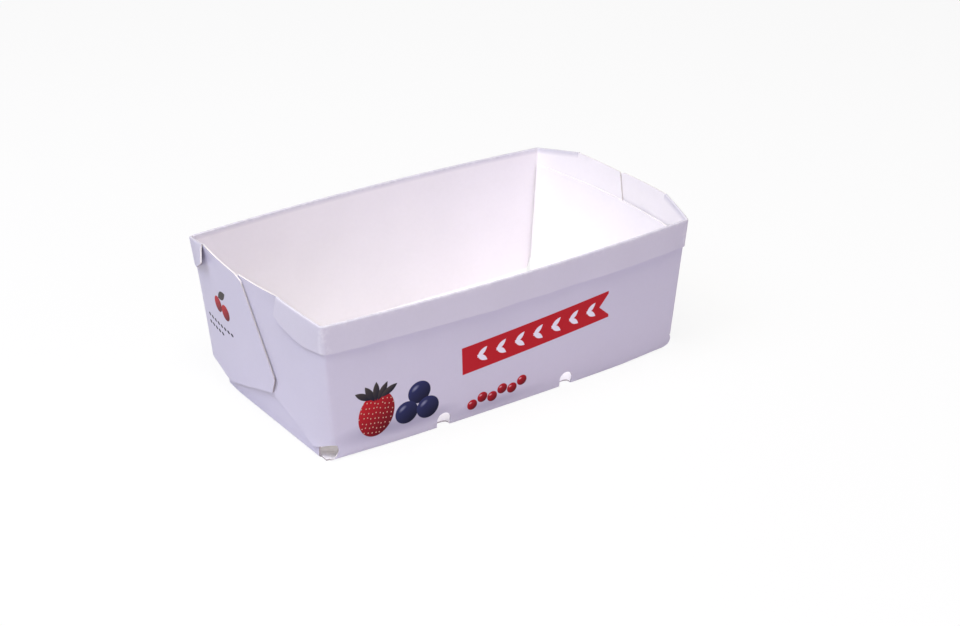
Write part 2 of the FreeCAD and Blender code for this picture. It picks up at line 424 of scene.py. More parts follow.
@dataclass(frozen=True)
class LongSide:
    """Front long wall with its two end flaps, its rim band and tabs.

    Attributes:
        plan: The tray's walls in plan.
        slack: How far glued pieces stand off.
        band_height: From the rim down to the band's lower edge.
        hole_height: Height of the cut-outs at the corners' feet.
        fold_radius: Radius of the long fold at its middle.
        left_swell: How much larger that radius is near the left corner.
        right_swell: The same near the right corner.
        vents: X of the vents' middles.
        vented: Whether the vents are cut in this side.
        vent_width: Width of a vent.
        vent_height: Height of a vent.
        vent_depth: How far a vent is cut into the base.
        flap_rise: How far the flaps rise over the rim at the tabs' ends.
        middle_rise: The same at the flaps' other ends.
        left_bulge: How far the left hole's edge swells into the wall.
        left_start: X where the long fold begins, left of the middle.
        right_start: X where it ends, right of the middle.
        right_bulge: How far the right hole's edge swells outwards.
        even: X where an even grid of columns would end.
        reach: How far from a corner its lean draws the columns along.
        columns: Even columns of the wall's grid.
        vent_columns: Columns over a vent.
        vent_clear: Least gap from a vent to an even column.
        vent_side: Width over which a vent's straight side rises.
        upper_rows: Rows of the grid above the corner holes.
        lower_rows: Rows below their top, above the fold.
        arc_rows: Rows round the long fold.
        bend_columns: Columns round a corner bend.
        band_rows: Rows of the band below its fold.
        band_ripple: How unevenly its lower edge is cut.
        fold_rows: Rows round the rim fold.
        tab_columns: Columns of a flap under its tab.
        far_columns: Columns of a flap beyond its tab.
        fine: Stretches in which a lower outline is measured.
        crease_wear: How worn the upright folds are.
        band_wear: How worn the band's upright folds are.
    """

    plan: TrayPlan
    slack: Slack
    band_height: float = 12.5
    hole_height: float = 7.2
    fold_radius: float = 0.9
    left_swell: float = 1.1
    right_swell: float = 2.6
    vents: Tuple[float, float] = (-35.3, 27.4)
    vented: bool = True
    vent_width: float = 6.7
    vent_height: float = 6.7
    vent_depth: float = 2.6
    flap_rise: float = 4.2
    middle_rise: float = 3.4
    left_bulge: float = 1.8
    left_start: float = 88.0
    right_start: float = 82.0
    right_bulge: float = 2.4
    even: float = 82.0
    reach: float = 34.0
    columns: int = 87
    vent_columns: int = 13
    vent_clear: float = 0.9
    vent_side: float = 0.03
    upper_rows: int = 26
    lower_rows: int = 7
    arc_rows: int = 6
    bend_columns: int = 7
    band_rows: int = 8
    band_ripple: float = 0.22
    fold_rows: int = 7
    tab_columns: int = 16
    far_columns: int = 26
    fine: int = 600
    crease_wear: float = 0.12
    band_wear: float = 0.9

    @property
    def fold_centre(self) -> float:
        """How far the rim fold's centre lies below its top."""
        return (self.plan.card + self.plan.layer_step) / 2.0

    def under_outline(self) -> FlapOutline:
        """Outline of the long flap that lies under the other.

        Returns:
            The outline of the flap and its tab.
        """
        rim, band = self.plan.height, self.plan.height - self.band_height
        curve = self._curve((11.2, band + 0.4), (21.5, band + 4.4),
                            (26.9, rim - 4.0))
        tab_end = (25.1, rim + self.flap_rise)
        return FlapOutline(
            over_tab=[(self.plan.corner_bend, rim), tab_end],
            top=[tab_end, (53.6, rim + self.middle_rise)],
            foot=[self._foot_start(), (10.3, 4.4), (69.0, 28.0)],
            tab_foot=[(self._fold_at(band), band)] + curve,
            tab_share=0.45)

    def over_outline(self) -> FlapOutline:
        """Outline of the flap that laps over the other.

        Returns:
            The outline of the flap and its tab.
        """
        rim, band = self.plan.height, self.plan.height - self.band_height
        tab_end = (19.4, rim + self.flap_rise)
        return FlapOutline(
            over_tab=[(self.plan.corner_bend, rim), tab_end],
            top=[tab_end, (50.6, rim + self.middle_rise),
                 (55.4, rim + self.middle_rise - 1.8)],
            foot=[self._foot_start(), (12.0, 7.6), (17.4, 7.0),
                  (23.0, 5.4), (28.4, 4.6), (68.2, 17.2), (71.8, 24.4)],
            tab_foot=[(self._fold_at(band), band), (8.4, band + 1.5),
                      (23.4, rim - 2.6)],
            tab_share=0.3)

    def _fold_at(self, z: float) -> float:
        """Distance of the corner fold's end side at a height.

        Args:
            z: The height.

        Returns:
            The distance along the end, from where it is at the rim.
        """
        plan = self.plan
        lean = plan.half_width(plan.height) - plan.half_width(z)
        return lean + plan.corner_bend

    def _foot_start(self) -> Place:
        """Where a flap's lower edge leaves the corner fold."""
        return self._fold_at(self.hole_height), self.hole_height

    @staticmethod
    def _curve(start: Place, over: Place, end: Place) -> List[Place]:
        """Round stretch of an outline: a parabola over the middle place.

        Args:
            start: First place.
            over: Place that the curve passes half way.
            end: Last place.

        Returns:
            Places along the curve.
        """
        t = np.linspace(0.0, 1.0, 9)[:, None]
        a, b, c = (np.array(p, float) for p in (start, over, end))
        handle = 2.0 * b - (a + c) / 2.0
        curve = (1 - t) ** 2 * a + 2 * t * (1 - t) * handle + t ** 2 * c
        return [tuple(p) for p in curve]

    def _hole_edge(self, z: Array) -> Array:
        """Bulge of the wall's sides: 1 half way up the corner holes."""
        share = np.clip(z / self.hole_height, 0.0, 1.0)
        return np.sin(math.pi * share) ** 0.8

    def _columns(self) -> Tuple[Array, Array]:
        """X of the wall's columns and how high each one's foot is cut.

        Columns are even, and crowd round the vents of the front and of
        a side turned half round, so that both sides meet the base.

        Returns:
            X at the base and the height of the cut, for each column.
        """
        radius = self.vent_width / 2.0
        plain = np.linspace(-self.even, self.even, self.columns)
        middles = np.array(self.vents + tuple(-v for v in self.vents))
        near = np.abs(plain[:, None] - middles[None, :]).min(1)
        plain = plain[near > radius + self.vent_clear]
        turn = np.linspace(0.0, math.pi, self.vent_columns)
        arch = -radius * np.cos(turn)
        side = radius + self.vent_side
        local = np.concatenate([[-side], arch, [side]])
        crown = self.vent_height - radius
        cut = np.concatenate([[0.0], crown + radius * np.sin(turn), [0.0]])
        opened = [self.vented and middle in self.vents
                  for middle in middles]
        xs = np.concatenate([plain] + [middle + local for middle in middles])
        cuts = np.concatenate([np.zeros_like(plain)]
                              + [cut * shown for shown in opened])
        order = np.argsort(xs)
        xs, cuts = xs[order], cuts[order]
        xs = xs - (self.left_start - self.even) * drift(-xs)
        xs = xs + (self.right_start - self.even) * drift(xs)
        return xs, cuts

    def base_edge(self) -> Tuple[Array, Array]:
        """Where the long fold leaves the base, with the vents cut in.

        Returns:
            X of each column, and Y of its end on the base.
        """
        xs, cuts = self._columns()
        y = self._fold_point(xs, np.zeros_like(xs))[0]
        half = self.vent_height / 2.0
        share = np.clip((cuts - half + 0.35) / half, 0.0, 1.0)
        inset = np.where(cuts > 0.0, self.vent_depth * np.sqrt(share), 0.0)
        return xs, y + inset

    def _radius(self, x: Array) -> Array:
        """Radius of the long fold, larger towards the corners.

        Args:
            x: X of the points.

        Returns:
            The radius at each X.
        """
        most = np.where(x < 0.0, self.left_swell, self.right_swell)
        swell = smooth_step(52.0, 88.0, np.abs(x))
        return self.fold_radius + most * swell

    def _fold_point(self, x: Array, travel: Array) -> Tuple[Array, Array]:
        """Y and Z of the sheet's middle, travel up from the base.

        First a quarter round from the base, then the sloping wall.

        Args:
            x: X of the points.
            travel: Distance along the sheet from the base.

        Returns:
            Y and Z of the points.
        """
        mid = self.plan.mid
        radius, lean = self._radius(x), self._lean(x)
        out, z, sloping = round_fold(travel, radius, lean, mid)
        centre_y = (self.plan.long_y(x, mid + radius, mid)
                    + radius / np.cos(lean))
        return np.where(sloping, self.plan.long_y(x, z, mid),
                        centre_y - out), z

    def _lean(self, x: Array) -> Array:
        """Angle by which the wall leans outwards, from two heights.

        Args:
            x: X of the points.

        Returns:
            The angle at each X, in radians.
        """
        mid = self.plan.mid
        low, high = (self.plan.long_y(x, np.zeros_like(x) + z, mid)
                     for z in (mid, LEAN_SPAN))
        return np.arctan((low - high) / (LEAN_SPAN - mid))

    def _travel_to(self, x: Array, z: float) -> Array:
        """Distance along the sheet from the base up to height z.

        Args:
            x: X of the points.
            z: The height.

        Returns:
            The quarter round's length and the straight rest.
        """
        radius, lean = self._radius(x), self._lean(x)
        turn = math.pi / 2.0 - lean
        top = self.plan.mid + radius - radius * np.cos(turn)
        return radius * turn + (z - top) / np.cos(lean)

    def _side_shift(self, x0: Array, z: Array, out: Array) -> Array:
        """X of the wall's points, drawn out to the leaning corners.

        Args:
            x0: X of the columns at the base.
            z: Heights.
            out: How far out of the tray's inside the points lie.

        Returns:
            X of the points.
        """
        step = self.plan.layer_step
        ones = np.ones_like(z)
        upper = np.maximum(z, self.hole_height)
        left = self.plan.bend(upper, step, ones, out)[0]
        right = -self.plan.bend(upper, 2.0 * step, ones, out)[0]
        share = np.clip(z / upper, 0.0, 1.0)
        hole = self._hole_edge(z)
        left = -self.left_start + (left + self.left_start) * share
        right = self.right_start + (right - self.right_start) * share
        left = left + self.left_bulge * hole
        right = right + self.right_bulge * hole
        near_left, near_right = (
            np.clip(1.0 - gap / self.reach, 0.0, 1.0)
            for gap in (x0 + self.left_start, self.right_start - x0))
        return (x0 + (left + self.left_start) * near_left
                + (right - self.right_start) * near_right)

    def _rim_line(self) -> float:
        """Height of the rim fold's centre over the long wall."""
        return self.plan.height - self.fold_centre

    def _rise(self) -> Array:
        """Shares of the way from the hole's top to the rim fold."""
        return np.linspace(0.0, 1.0, self.upper_rows + 1)

    def _upper_z(self) -> Array:
        """Height of each row from the hole's top to the rim fold."""
        return self.hole_height + (self._rim_line()
                                   - self.hole_height) * self._rise()

    def _blank_v(self, z: Array, hanging: bool = False) -> Array:
        """Place on the flat blank of height z, on the wall or the band."""
        climb = 2.0 * self.plan.height - z if hanging else z
        return -(self.plan.flat_side + climb * SLANT)

    def wall(self) -> Patch:
        """The long wall from the base to the rim fold.

        Rows climb by travel along the sheet below the corner holes' top,
        and by even heights above it.

        Returns:
            The wall's patch.
        """
        plan, mid = self.plan, self.plan.mid
        xs, cuts = self._columns()
        top = self._travel_to(xs, self.hole_height)
        arc = self._radius(xs) * FOLD_TRAVEL
        share = np.concatenate([
            np.linspace(0.0, 1.0, self.arc_rows, endpoint=False),
            1.0 + np.linspace(0.0, 1.0, self.lower_rows + 1)])[:, None]
        plain = np.where(share < 1.0, share * arc,
                         arc + (share - 1.0) * (top - arc))
        start = np.where(cuts > 0.0, self._travel_to(xs, 0.0) + cuts, 0.0)
        travel = start + (top - start) * plain / top
        flat_x = np.broadcast_to(xs, travel.shape)
        y, z = self._fold_point(flat_x, travel)
        z[-1] = self.hole_height
        x = self._side_shift(flat_x, z, mid)
        y = y + plan.long_y(x, z, mid) - plan.long_y(flat_x, z, mid)
        z_up = np.broadcast_to(self._upper_z()[1:, None],
                               (self.upper_rows, xs.size))
        x_up = self._side_shift(np.broadcast_to(xs, z_up.shape), z_up, mid)
        y_up = plan.long_y(x_up, z_up, mid)
        points = np.concatenate([np.stack([x, y, z], -1),
                                 np.stack([x_up, y_up, z_up], -1)])
        x, z = points[..., 0], points[..., 2]
        fold = np.maximum(np.exp(-(z / 1.6) ** 2),
                          np.exp(-((self._rim_line() - z)
                                   / RIM_CREASE) ** 2))
        side = (plan.half_length(z) - np.abs(x)) / CREASE
        fold = np.maximum(fold, self.crease_wear * np.exp(-side ** 2))
        return Patch(points, np.stack([x, self._blank_v(z)], -1), fold)

    def _bend_patch(self, z: Array, offset: Array, mirrored: bool,
                    wear: float, flat_v: Array) -> Patch:
        """A stretch round a corner: rows of z, columns round the bend.

        Args:
            z: Height of each row.
            offset: Further offset outwards of each row.
            mirrored: Whether it is the right corner.
            wear: How worn the fold is, from 0 to 1.
            flat_v: Place of each row on the flat blank.

        Returns:
            The patch, its columns in the order of the front's.
        """
        plan = self.plan
        turn = np.linspace(0.0, 1.0, self.bend_columns)[None, :]
        zz = z[:, None] + 0.0 * turn
        extra = plan.mid + offset[:, None] + 0.0 * turn
        x, y = plan.bend(zz, self._layer(mirrored), turn + 0.0 * zz, extra)
        u = -(plan.half_length(zz) + (1.0 - turn) * 1.2)
        if mirrored:
            x, y, zz, u = -x[:, ::-1], y[:, ::-1], zz[:, ::-1], -u[:, ::-1]
        flat = np.stack([u, np.broadcast_to(flat_v[:, None], u.shape)], -1)
        return Patch(np.stack([x, y, zz], -1), flat, np.full(x.shape, wear))

    def _layer(self, mirrored: bool) -> float:
        """How far out of the end's inside the side's own layer lies."""
        return (2 if mirrored else 1) * self.plan.layer_step

    def bend(self, mirrored: bool) -> Patch:
        """The upright corner fold between the wall and a flap."""
        z = self._upper_z()
        return self._bend_patch(z, np.zeros_like(z), mirrored,
                                self.crease_wear, self._blank_v(z))

    def _end_patch(self, d: Array, z: Array, first: Tuple[Array, Array],
                   mirrored: bool, out: Array, swing: Array,
                   is_tab: bool) -> Patch:
        """A grid on the left end, its first column on the corner bend.

        Args:
            d: Distance of each point from the corner.
            z: Height of each point.
            first: Distance and height of each row's first point.
            mirrored: Whether the grid belongs to the right end.
            out: How far out of its layer's inside the sheet lies.
            swing: Further offset outwards, away from the bend.
            is_tab: Whether it is a tab of the band.

        Returns:
            The patch, its columns in the order of the front's.
        """
        plan, layer = self.plan, self._layer(mirrored)
        first_d, first_z = first
        y = plan.bend(first_z, layer, np.zeros_like(first_z), out)[1]
        y = y + d - first_d
        x = plan.end_x(y, z, layer + out + swing)
        u = -(plan.half_length(z) + d)
        v = self._blank_v(z, is_tab)
        crease = d - self._fold_at(0.0) * (1.0 - z / plan.height)
        crease = crease / CREASE
        fold = np.exp(-crease ** 2) * (self.band_wear if is_tab
                                       else self.crease_wear)
        if mirrored:
            return Patch(np.stack([-x, y, z], -1), np.stack([-u, v], -1),
                         fold)
        return Patch(np.stack([x, y, z], -1)[:, ::-1],
                     np.stack([u, v], -1)[:, ::-1], fold[:, ::-1])

    def flap(self, mirrored: bool) -> List[Patch]:
        """An end flap: ruled between its top and its lower outline.

        Args:
            mirrored: Whether it is the over flap at the right end.

        Returns:
            The flap's patches, under the tab and beyond it.
        """
        outline = self.over_outline() if mirrored else self.under_outline()
        near = along_outline(outline.over_tab, self.tab_columns)
        far = along_outline(outline.top, self.far_columns)
        last = len(near) - 1
        shares = np.concatenate([
            np.linspace(0.0, outline.tab_share, len(near)),
            np.linspace(outline.tab_share, 1.0, len(far))[1:]])
        foot = at_shares(outline.foot, self.fine, shares)
        self._snap(foot, outline.foot[1:-1])
        top = np.vstack([near - (0.0, self.fold_centre), far[1:]])
        tail = top[last:].copy()
        tail[0] = far[0] + (TAB_SLIT, 0.0)
        grids = [(top[:last + 1], foot[:last + 1]),
                 (np.vstack([top[last], tail]),
                  np.vstack([foot[last], foot[last:]]))]
        rise = self._rise()[:, None]
        first = foot[0] + (top[0] - foot[0]) * rise
        patches = []
        for head, low in grids:
            place = low[None] + (head - low)[None] * rise[..., None]
            d, z = place[..., 0], place[..., 1]
            start = (first[:, 0:1] + 0.0 * d, first[:, 1:2] + 0.0 * z)
            patches.append(self._end_patch(
                d, z, start, mirrored, self.plan.mid + 0.0 * z,
                self._flap_slack(d, z, mirrored), False))
        return patches

    @staticmethod
    def _snap(foot: Array, corners: Sequence[Place]) -> None:
        """Move the nearest point of a foot onto each of some corners."""
        for corner in corners:
            foot[int(np.argmin(np.hypot(*(foot - corner).T)))] = corner

    def _flap_slack(self, d: Array, z: Array, over: bool) -> Array:
        """How far a flap stands off, most at its free edge and foot.

        Args:
            d: Distance of each point from the corner.
            z: Height of each point.
            over: Whether it is the over flap.

        Returns:
            The offset outwards, a product of smooth steps.
        """
        if not over:
            low = smooth_step(9.0, 0.0, z - 4.4 - 0.4 * (d - 10.3))
            return self.slack.under_flap * low * smooth_step(3.0, 12.0, d)
        free = smooth_step(34.0, 68.0, d)
        foot = smooth_step(46.0, 6.0, z) * smooth_step(20.0, 50.0, d)
        return self.slack.over_flap * (free + 0.9 * foot)

    def _fold_rows(self) -> Tuple[Array, Array]:
        """Offset and climb of the rim fold's rows: a half circle."""
        radius = self.plan.layer_step / 2.0
        turn = np.linspace(0.0, math.pi, self.fold_rows)
        return radius * (1.0 - np.cos(turn)), radius * np.sin(turn)

    def band(self) -> List[Patch]:
        """The rim fold and the band below it, round both corners.

        Returns:
            Patches of the left tab and bend, the front, and the right
            bend and tab.
        """
        plan = self.plan
        offset, climb = self._fold_rows()
        rim = self._rim_line()
        low = plan.height - self.band_height
        drop = np.linspace(0.0, 1.0, self.band_rows + 1)[1:]
        z_rows = np.concatenate([rim + climb, rim + (low - rim) * drop])
        hang = np.concatenate([0.0 * climb, drop])
        shift = np.concatenate([offset, np.full(self.band_rows,
                                                plan.layer_step)])
        xs, _ = self._columns()
        uneven = self.band_ripple * ripple(xs, (61.0, 23.0, 9.7), 0.7)
        z = z_rows[:, None] + 0.0 * xs + hang[:, None] ** 3 * uneven
        out = plan.mid + shift[:, None] + 0.0 * z
        x = self._side_shift(np.broadcast_to(xs, z.shape), z, out)
        swing = self.slack.band * (0.6 + 0.4 * ripple(
            xs, (83.0, 31.0), 2.1)) * smooth_step(81.0, 70.0, np.abs(xs))
        y = plan.long_y(x, z, out + hang[:, None] * swing)
        side = plan.rim_length / 2.0 - np.abs(x)
        fold = np.maximum(np.exp(-((plan.height - z) / RIM_CREASE) ** 2),
                          np.exp(-(side / CREASE) ** 2))
        flat = np.stack([x, self._blank_v(z, True)], -1)
        front = Patch(np.stack([x, y, z], -1), flat, fold)
        left, right = (
            [self._tab(mirrored, corner_z, shift, hang),
             self._bend_patch(corner_z, shift, mirrored, self.band_wear,
                              self._blank_v(z_rows, True))]
            for mirrored, corner_z in ((False, z[:, 0]), (True, z[:, -1])))
        return [replace(part, band=1.0)
                for part in left + [front] + right[::-1]]

    def _tab(self, mirrored: bool, corner_z: Array, shift: Array,
             hang: Array) -> Patch:
        """A tab of the band on the end, ruled from its fold downwards.

        Args:
            mirrored: Whether it is the short tab at the right end.
            corner_z: Height of each row at the corner.
            shift: Offset outwards of each row.
            hang: Share of the way down from the fold of each row.

        Returns:
            The tab's patch.
        """
        outline = self.over_outline() if mirrored else self.under_outline()
        head = along_outline(outline.over_tab, self.tab_columns)
        head = head - (0.0, self.fold_centre)
        foot = at_shares(outline.tab_foot, self.fine,
                         np.linspace(0.0, 1.0, len(head)))
        foot[0, 1] = corner_z[-1]
        _, climb = self._fold_rows()
        rows = np.concatenate([climb, np.zeros(len(hang) - len(climb))])
        place = head[None] + (foot - head)[None] * hang[:, None, None]
        d, z = place[..., 0], place[..., 1] + rows[:, None]
        z = z + (corner_z[:, None] - z[:, :1]) * np.clip(
            1.0 - (d - d[:, :1]) / 6.0, 0.0, 1.0)
        free = smooth_step(0.0, 1.0, d / d[:, -1:].clip(1.0))
        slack = self.slack.over_tab if mirrored else self.slack.under_tab
        swing = slack * free ** 1.3 * hang[:, None] ** 0.75
        start = (d[:, :1], np.broadcast_to(corner_z[:, None], z.shape))
        out = self.plan.mid + shift[:, None] + 0.0 * z
        return self._end_patch(d, z, start, mirrored, out, swing, True)

    def end_patches(self) -> List[Patch]:
        """Every patch of the long side but its wall."""
        parts = [self.bend(False), self.bend(True)]
        return parts + self.flap(False) + self.flap(True) + self.band()


@dataclass(frozen=True)
class EndPanel:
    """Left end panel with the fold that joins it to the base.

    Attributes:
        plan: The tray's walls in plan.
        drop: How far its top lies below the rim.
        side_clearance: Gap to the long walls.
        under_inset: How far its foot is cut in by the under flap.
        over_inset: The same by the over flap.
        foot_height: Height of both cuts.
        fold_radius: Radius of the fold at the base.
        rows: Rows of the grid above the cuts.
    """

    plan: TrayPlan
    drop: float = 7.7
    side_clearance: float = 1.0
    under_inset: float = 6.0
    over_inset: float = 20.0
    foot_height: float = 9.5
    fold_radius: float = 0.9
    rows: int = 30

    @property
    def foot(self) -> Tuple[float, float]:
        """Y of the fold's two ends, at the back and at the front."""
        side = self.plan.base_width / 2.0
        return side - self.over_inset, self.under_inset - side

    def start(self, y: Array) -> Array:
        """X where the base ends and the fold begins, at each Y."""
        return self._profile(y, np.zeros_like(y))[0]

    def _profile(self, y: Array, travel: Array) -> Tuple[Array, Array]:
        """X and Z of the sheet's middle, travel up from the base.

        First a quarter round from the base, then the leaning end.

        Args:
            y: Y of the points.
            travel: Distance along the sheet from the base.

        Returns:
            X and Z of the points.
        """
        plan, mid, radius = self.plan, self.plan.mid, self.fold_radius
        low, high = (plan.end_x(y, 0.0 * y + mid + radius + rise, mid)
                     for rise in (0.0, LEAN_SPAN))
        lean = np.arctan((low - high) / LEAN_SPAN)
        out, z, sloping = round_fold(travel, radius, lean, mid)
        fold_x = low + radius / np.cos(lean) - out
        return np.where(sloping, plan.end_x(y, z, mid), fold_x), z

    def patch(self, rows_y: Array) -> Patch:
        """The panel: even heights, drawn in at the cuts of its foot.

        Args:
            rows_y: Y of the points along the fold, from back to front.

        Returns:
            The panel's patch.
        """
        plan = self.plan
        top = plan.height - self.drop
        arc = self.fold_radius * FOLD_TRAVEL
        share = np.concatenate([
            np.linspace(0.0, arc, 6, endpoint=False),
            np.linspace(arc, self.foot_height, 5, endpoint=False),
            [self.foot_height, self.foot_height + 0.15],
            np.linspace(self.foot_height + 2.0, top + 0.4, self.rows)])
        y0 = np.broadcast_to(rows_y, (share.size, rows_y.size))
        travel = share[:, None] + 0.0 * y0
        z = self._profile(y0, travel)[1]
        wide = plan.half_width(z) - self.side_clearance
        back, front = self.foot
        ease = 0.8 * z / self.foot_height
        cut = travel < self.foot_height + 0.1
        back_y = np.where(cut, back + ease, wide)
        front_y = np.where(cut, front - ease, -wide)
        across = (y0 - back) / (front - back)
        y = back_y + (front_y - back_y) * across
        x, z = self._profile(y, travel)
        points = np.stack([x, y, z], -1)
        flat = np.stack([-(plan.base_length / 2.0 + z), y], -1)
        fold = np.exp(-(z / 1.4) ** 2)
        return Patch(points, flat, fold)


@dataclass(frozen=True)
class Base:
    """Bottom of the tray between the folds of its four walls.

    Attributes:
        plan: The tray's walls in plan.
        front: The front long side.
        back: The back long side, before it is turned half round.
        end: The left end panel.
        far_end: The right end panel, before it is turned half round.
        panel_rows: Rows of the grid along an end panel's foot.
        tip_rows: Rows of the grid at the corner's tip beside it.
        left_tip: X and Y of the front left corner's tip.
        right_tip: X and Y of the back right corner's tip.
    """

    plan: TrayPlan
    front: LongSide
    back: LongSide
    end: EndPanel
    far_end: EndPanel
    panel_rows: int = 41
    tip_rows: int = 3
    left_tip: Place = (-88.9, -49.0)
    right_tip: Place = (84.2, 50.2)

    def foot_y(self, end: EndPanel) -> Array:
        """Y of the points along an end's fold, before it is turned."""
        return np.linspace(*end.foot, self.panel_rows + 1)

    def _end_column(self, end: EndPanel, sign: float,
                    tip: Place) -> Tuple[Array, Array]:
        """X and Y of the points down one end, from its foot to its tip.

        Args:
            end: The end's panel.
            sign: 1 for the left end, -1 for the right.
            tip: The corner's tip beside the fold.

        Returns:
            X and Y, the tip last.
        """
        y = self.foot_y(end)
        x = sign * end.start(y)
        y = sign * y
        x = x + self.plan.settling(x, y, np.full_like(y, self.plan.mid))
        share = np.linspace(0.0, 1.0, self.tip_rows + 1)[1:]
        x = np.concatenate([x, x[-1] + (tip[0] - x[-1]) * share])
        y = np.concatenate([y, y[-1] + (tip[1] - y[-1]) * share])
        return x, y

    def patch(self) -> Patch:
        """A flat grid, ruled between the front and the back fold.

        Rows are even in the middle and drift to the ends' own rows.

        Returns:
            The base's patch, its outside facing down.
        """
        xs, front = self.front.base_edge()
        back_xs, back = self.back.base_edge()
        back_xs, back = -back_xs[::-1], -back[::-1]
        left_x, left_y = self._end_column(self.end, 1.0, self.left_tip)
        right_x, right_y = self._end_column(self.far_end, -1.0,
                                            self.right_tip)
        right_x, right_y = right_x[::-1], right_y[::-1]
        even = np.linspace(0.0, 1.0, left_y.size)[:, None]
        share = even + 0.0 * xs
        for end_y, near in ((left_y, -xs), (right_y, xs)):
            own = (end_y - end_y[0]) / (end_y[-1] - end_y[0])
            share = share + (own[:, None] - even) * drift(near)
        x = back_xs + (xs - back_xs) * share
        y = back + (front - back) * share
        x = np.column_stack([left_x, x, right_x])
        y = np.column_stack([left_y, y, right_y])
        z = np.full_like(y, self.plan.mid)
        points = np.stack([x, y, z], -1)
        side = np.abs(y) - self.plan.base_width / 2.0
        fold = np.exp(-(side / 2.5) ** 2)
        return Patch(points, np.stack([x, y], -1), fold)


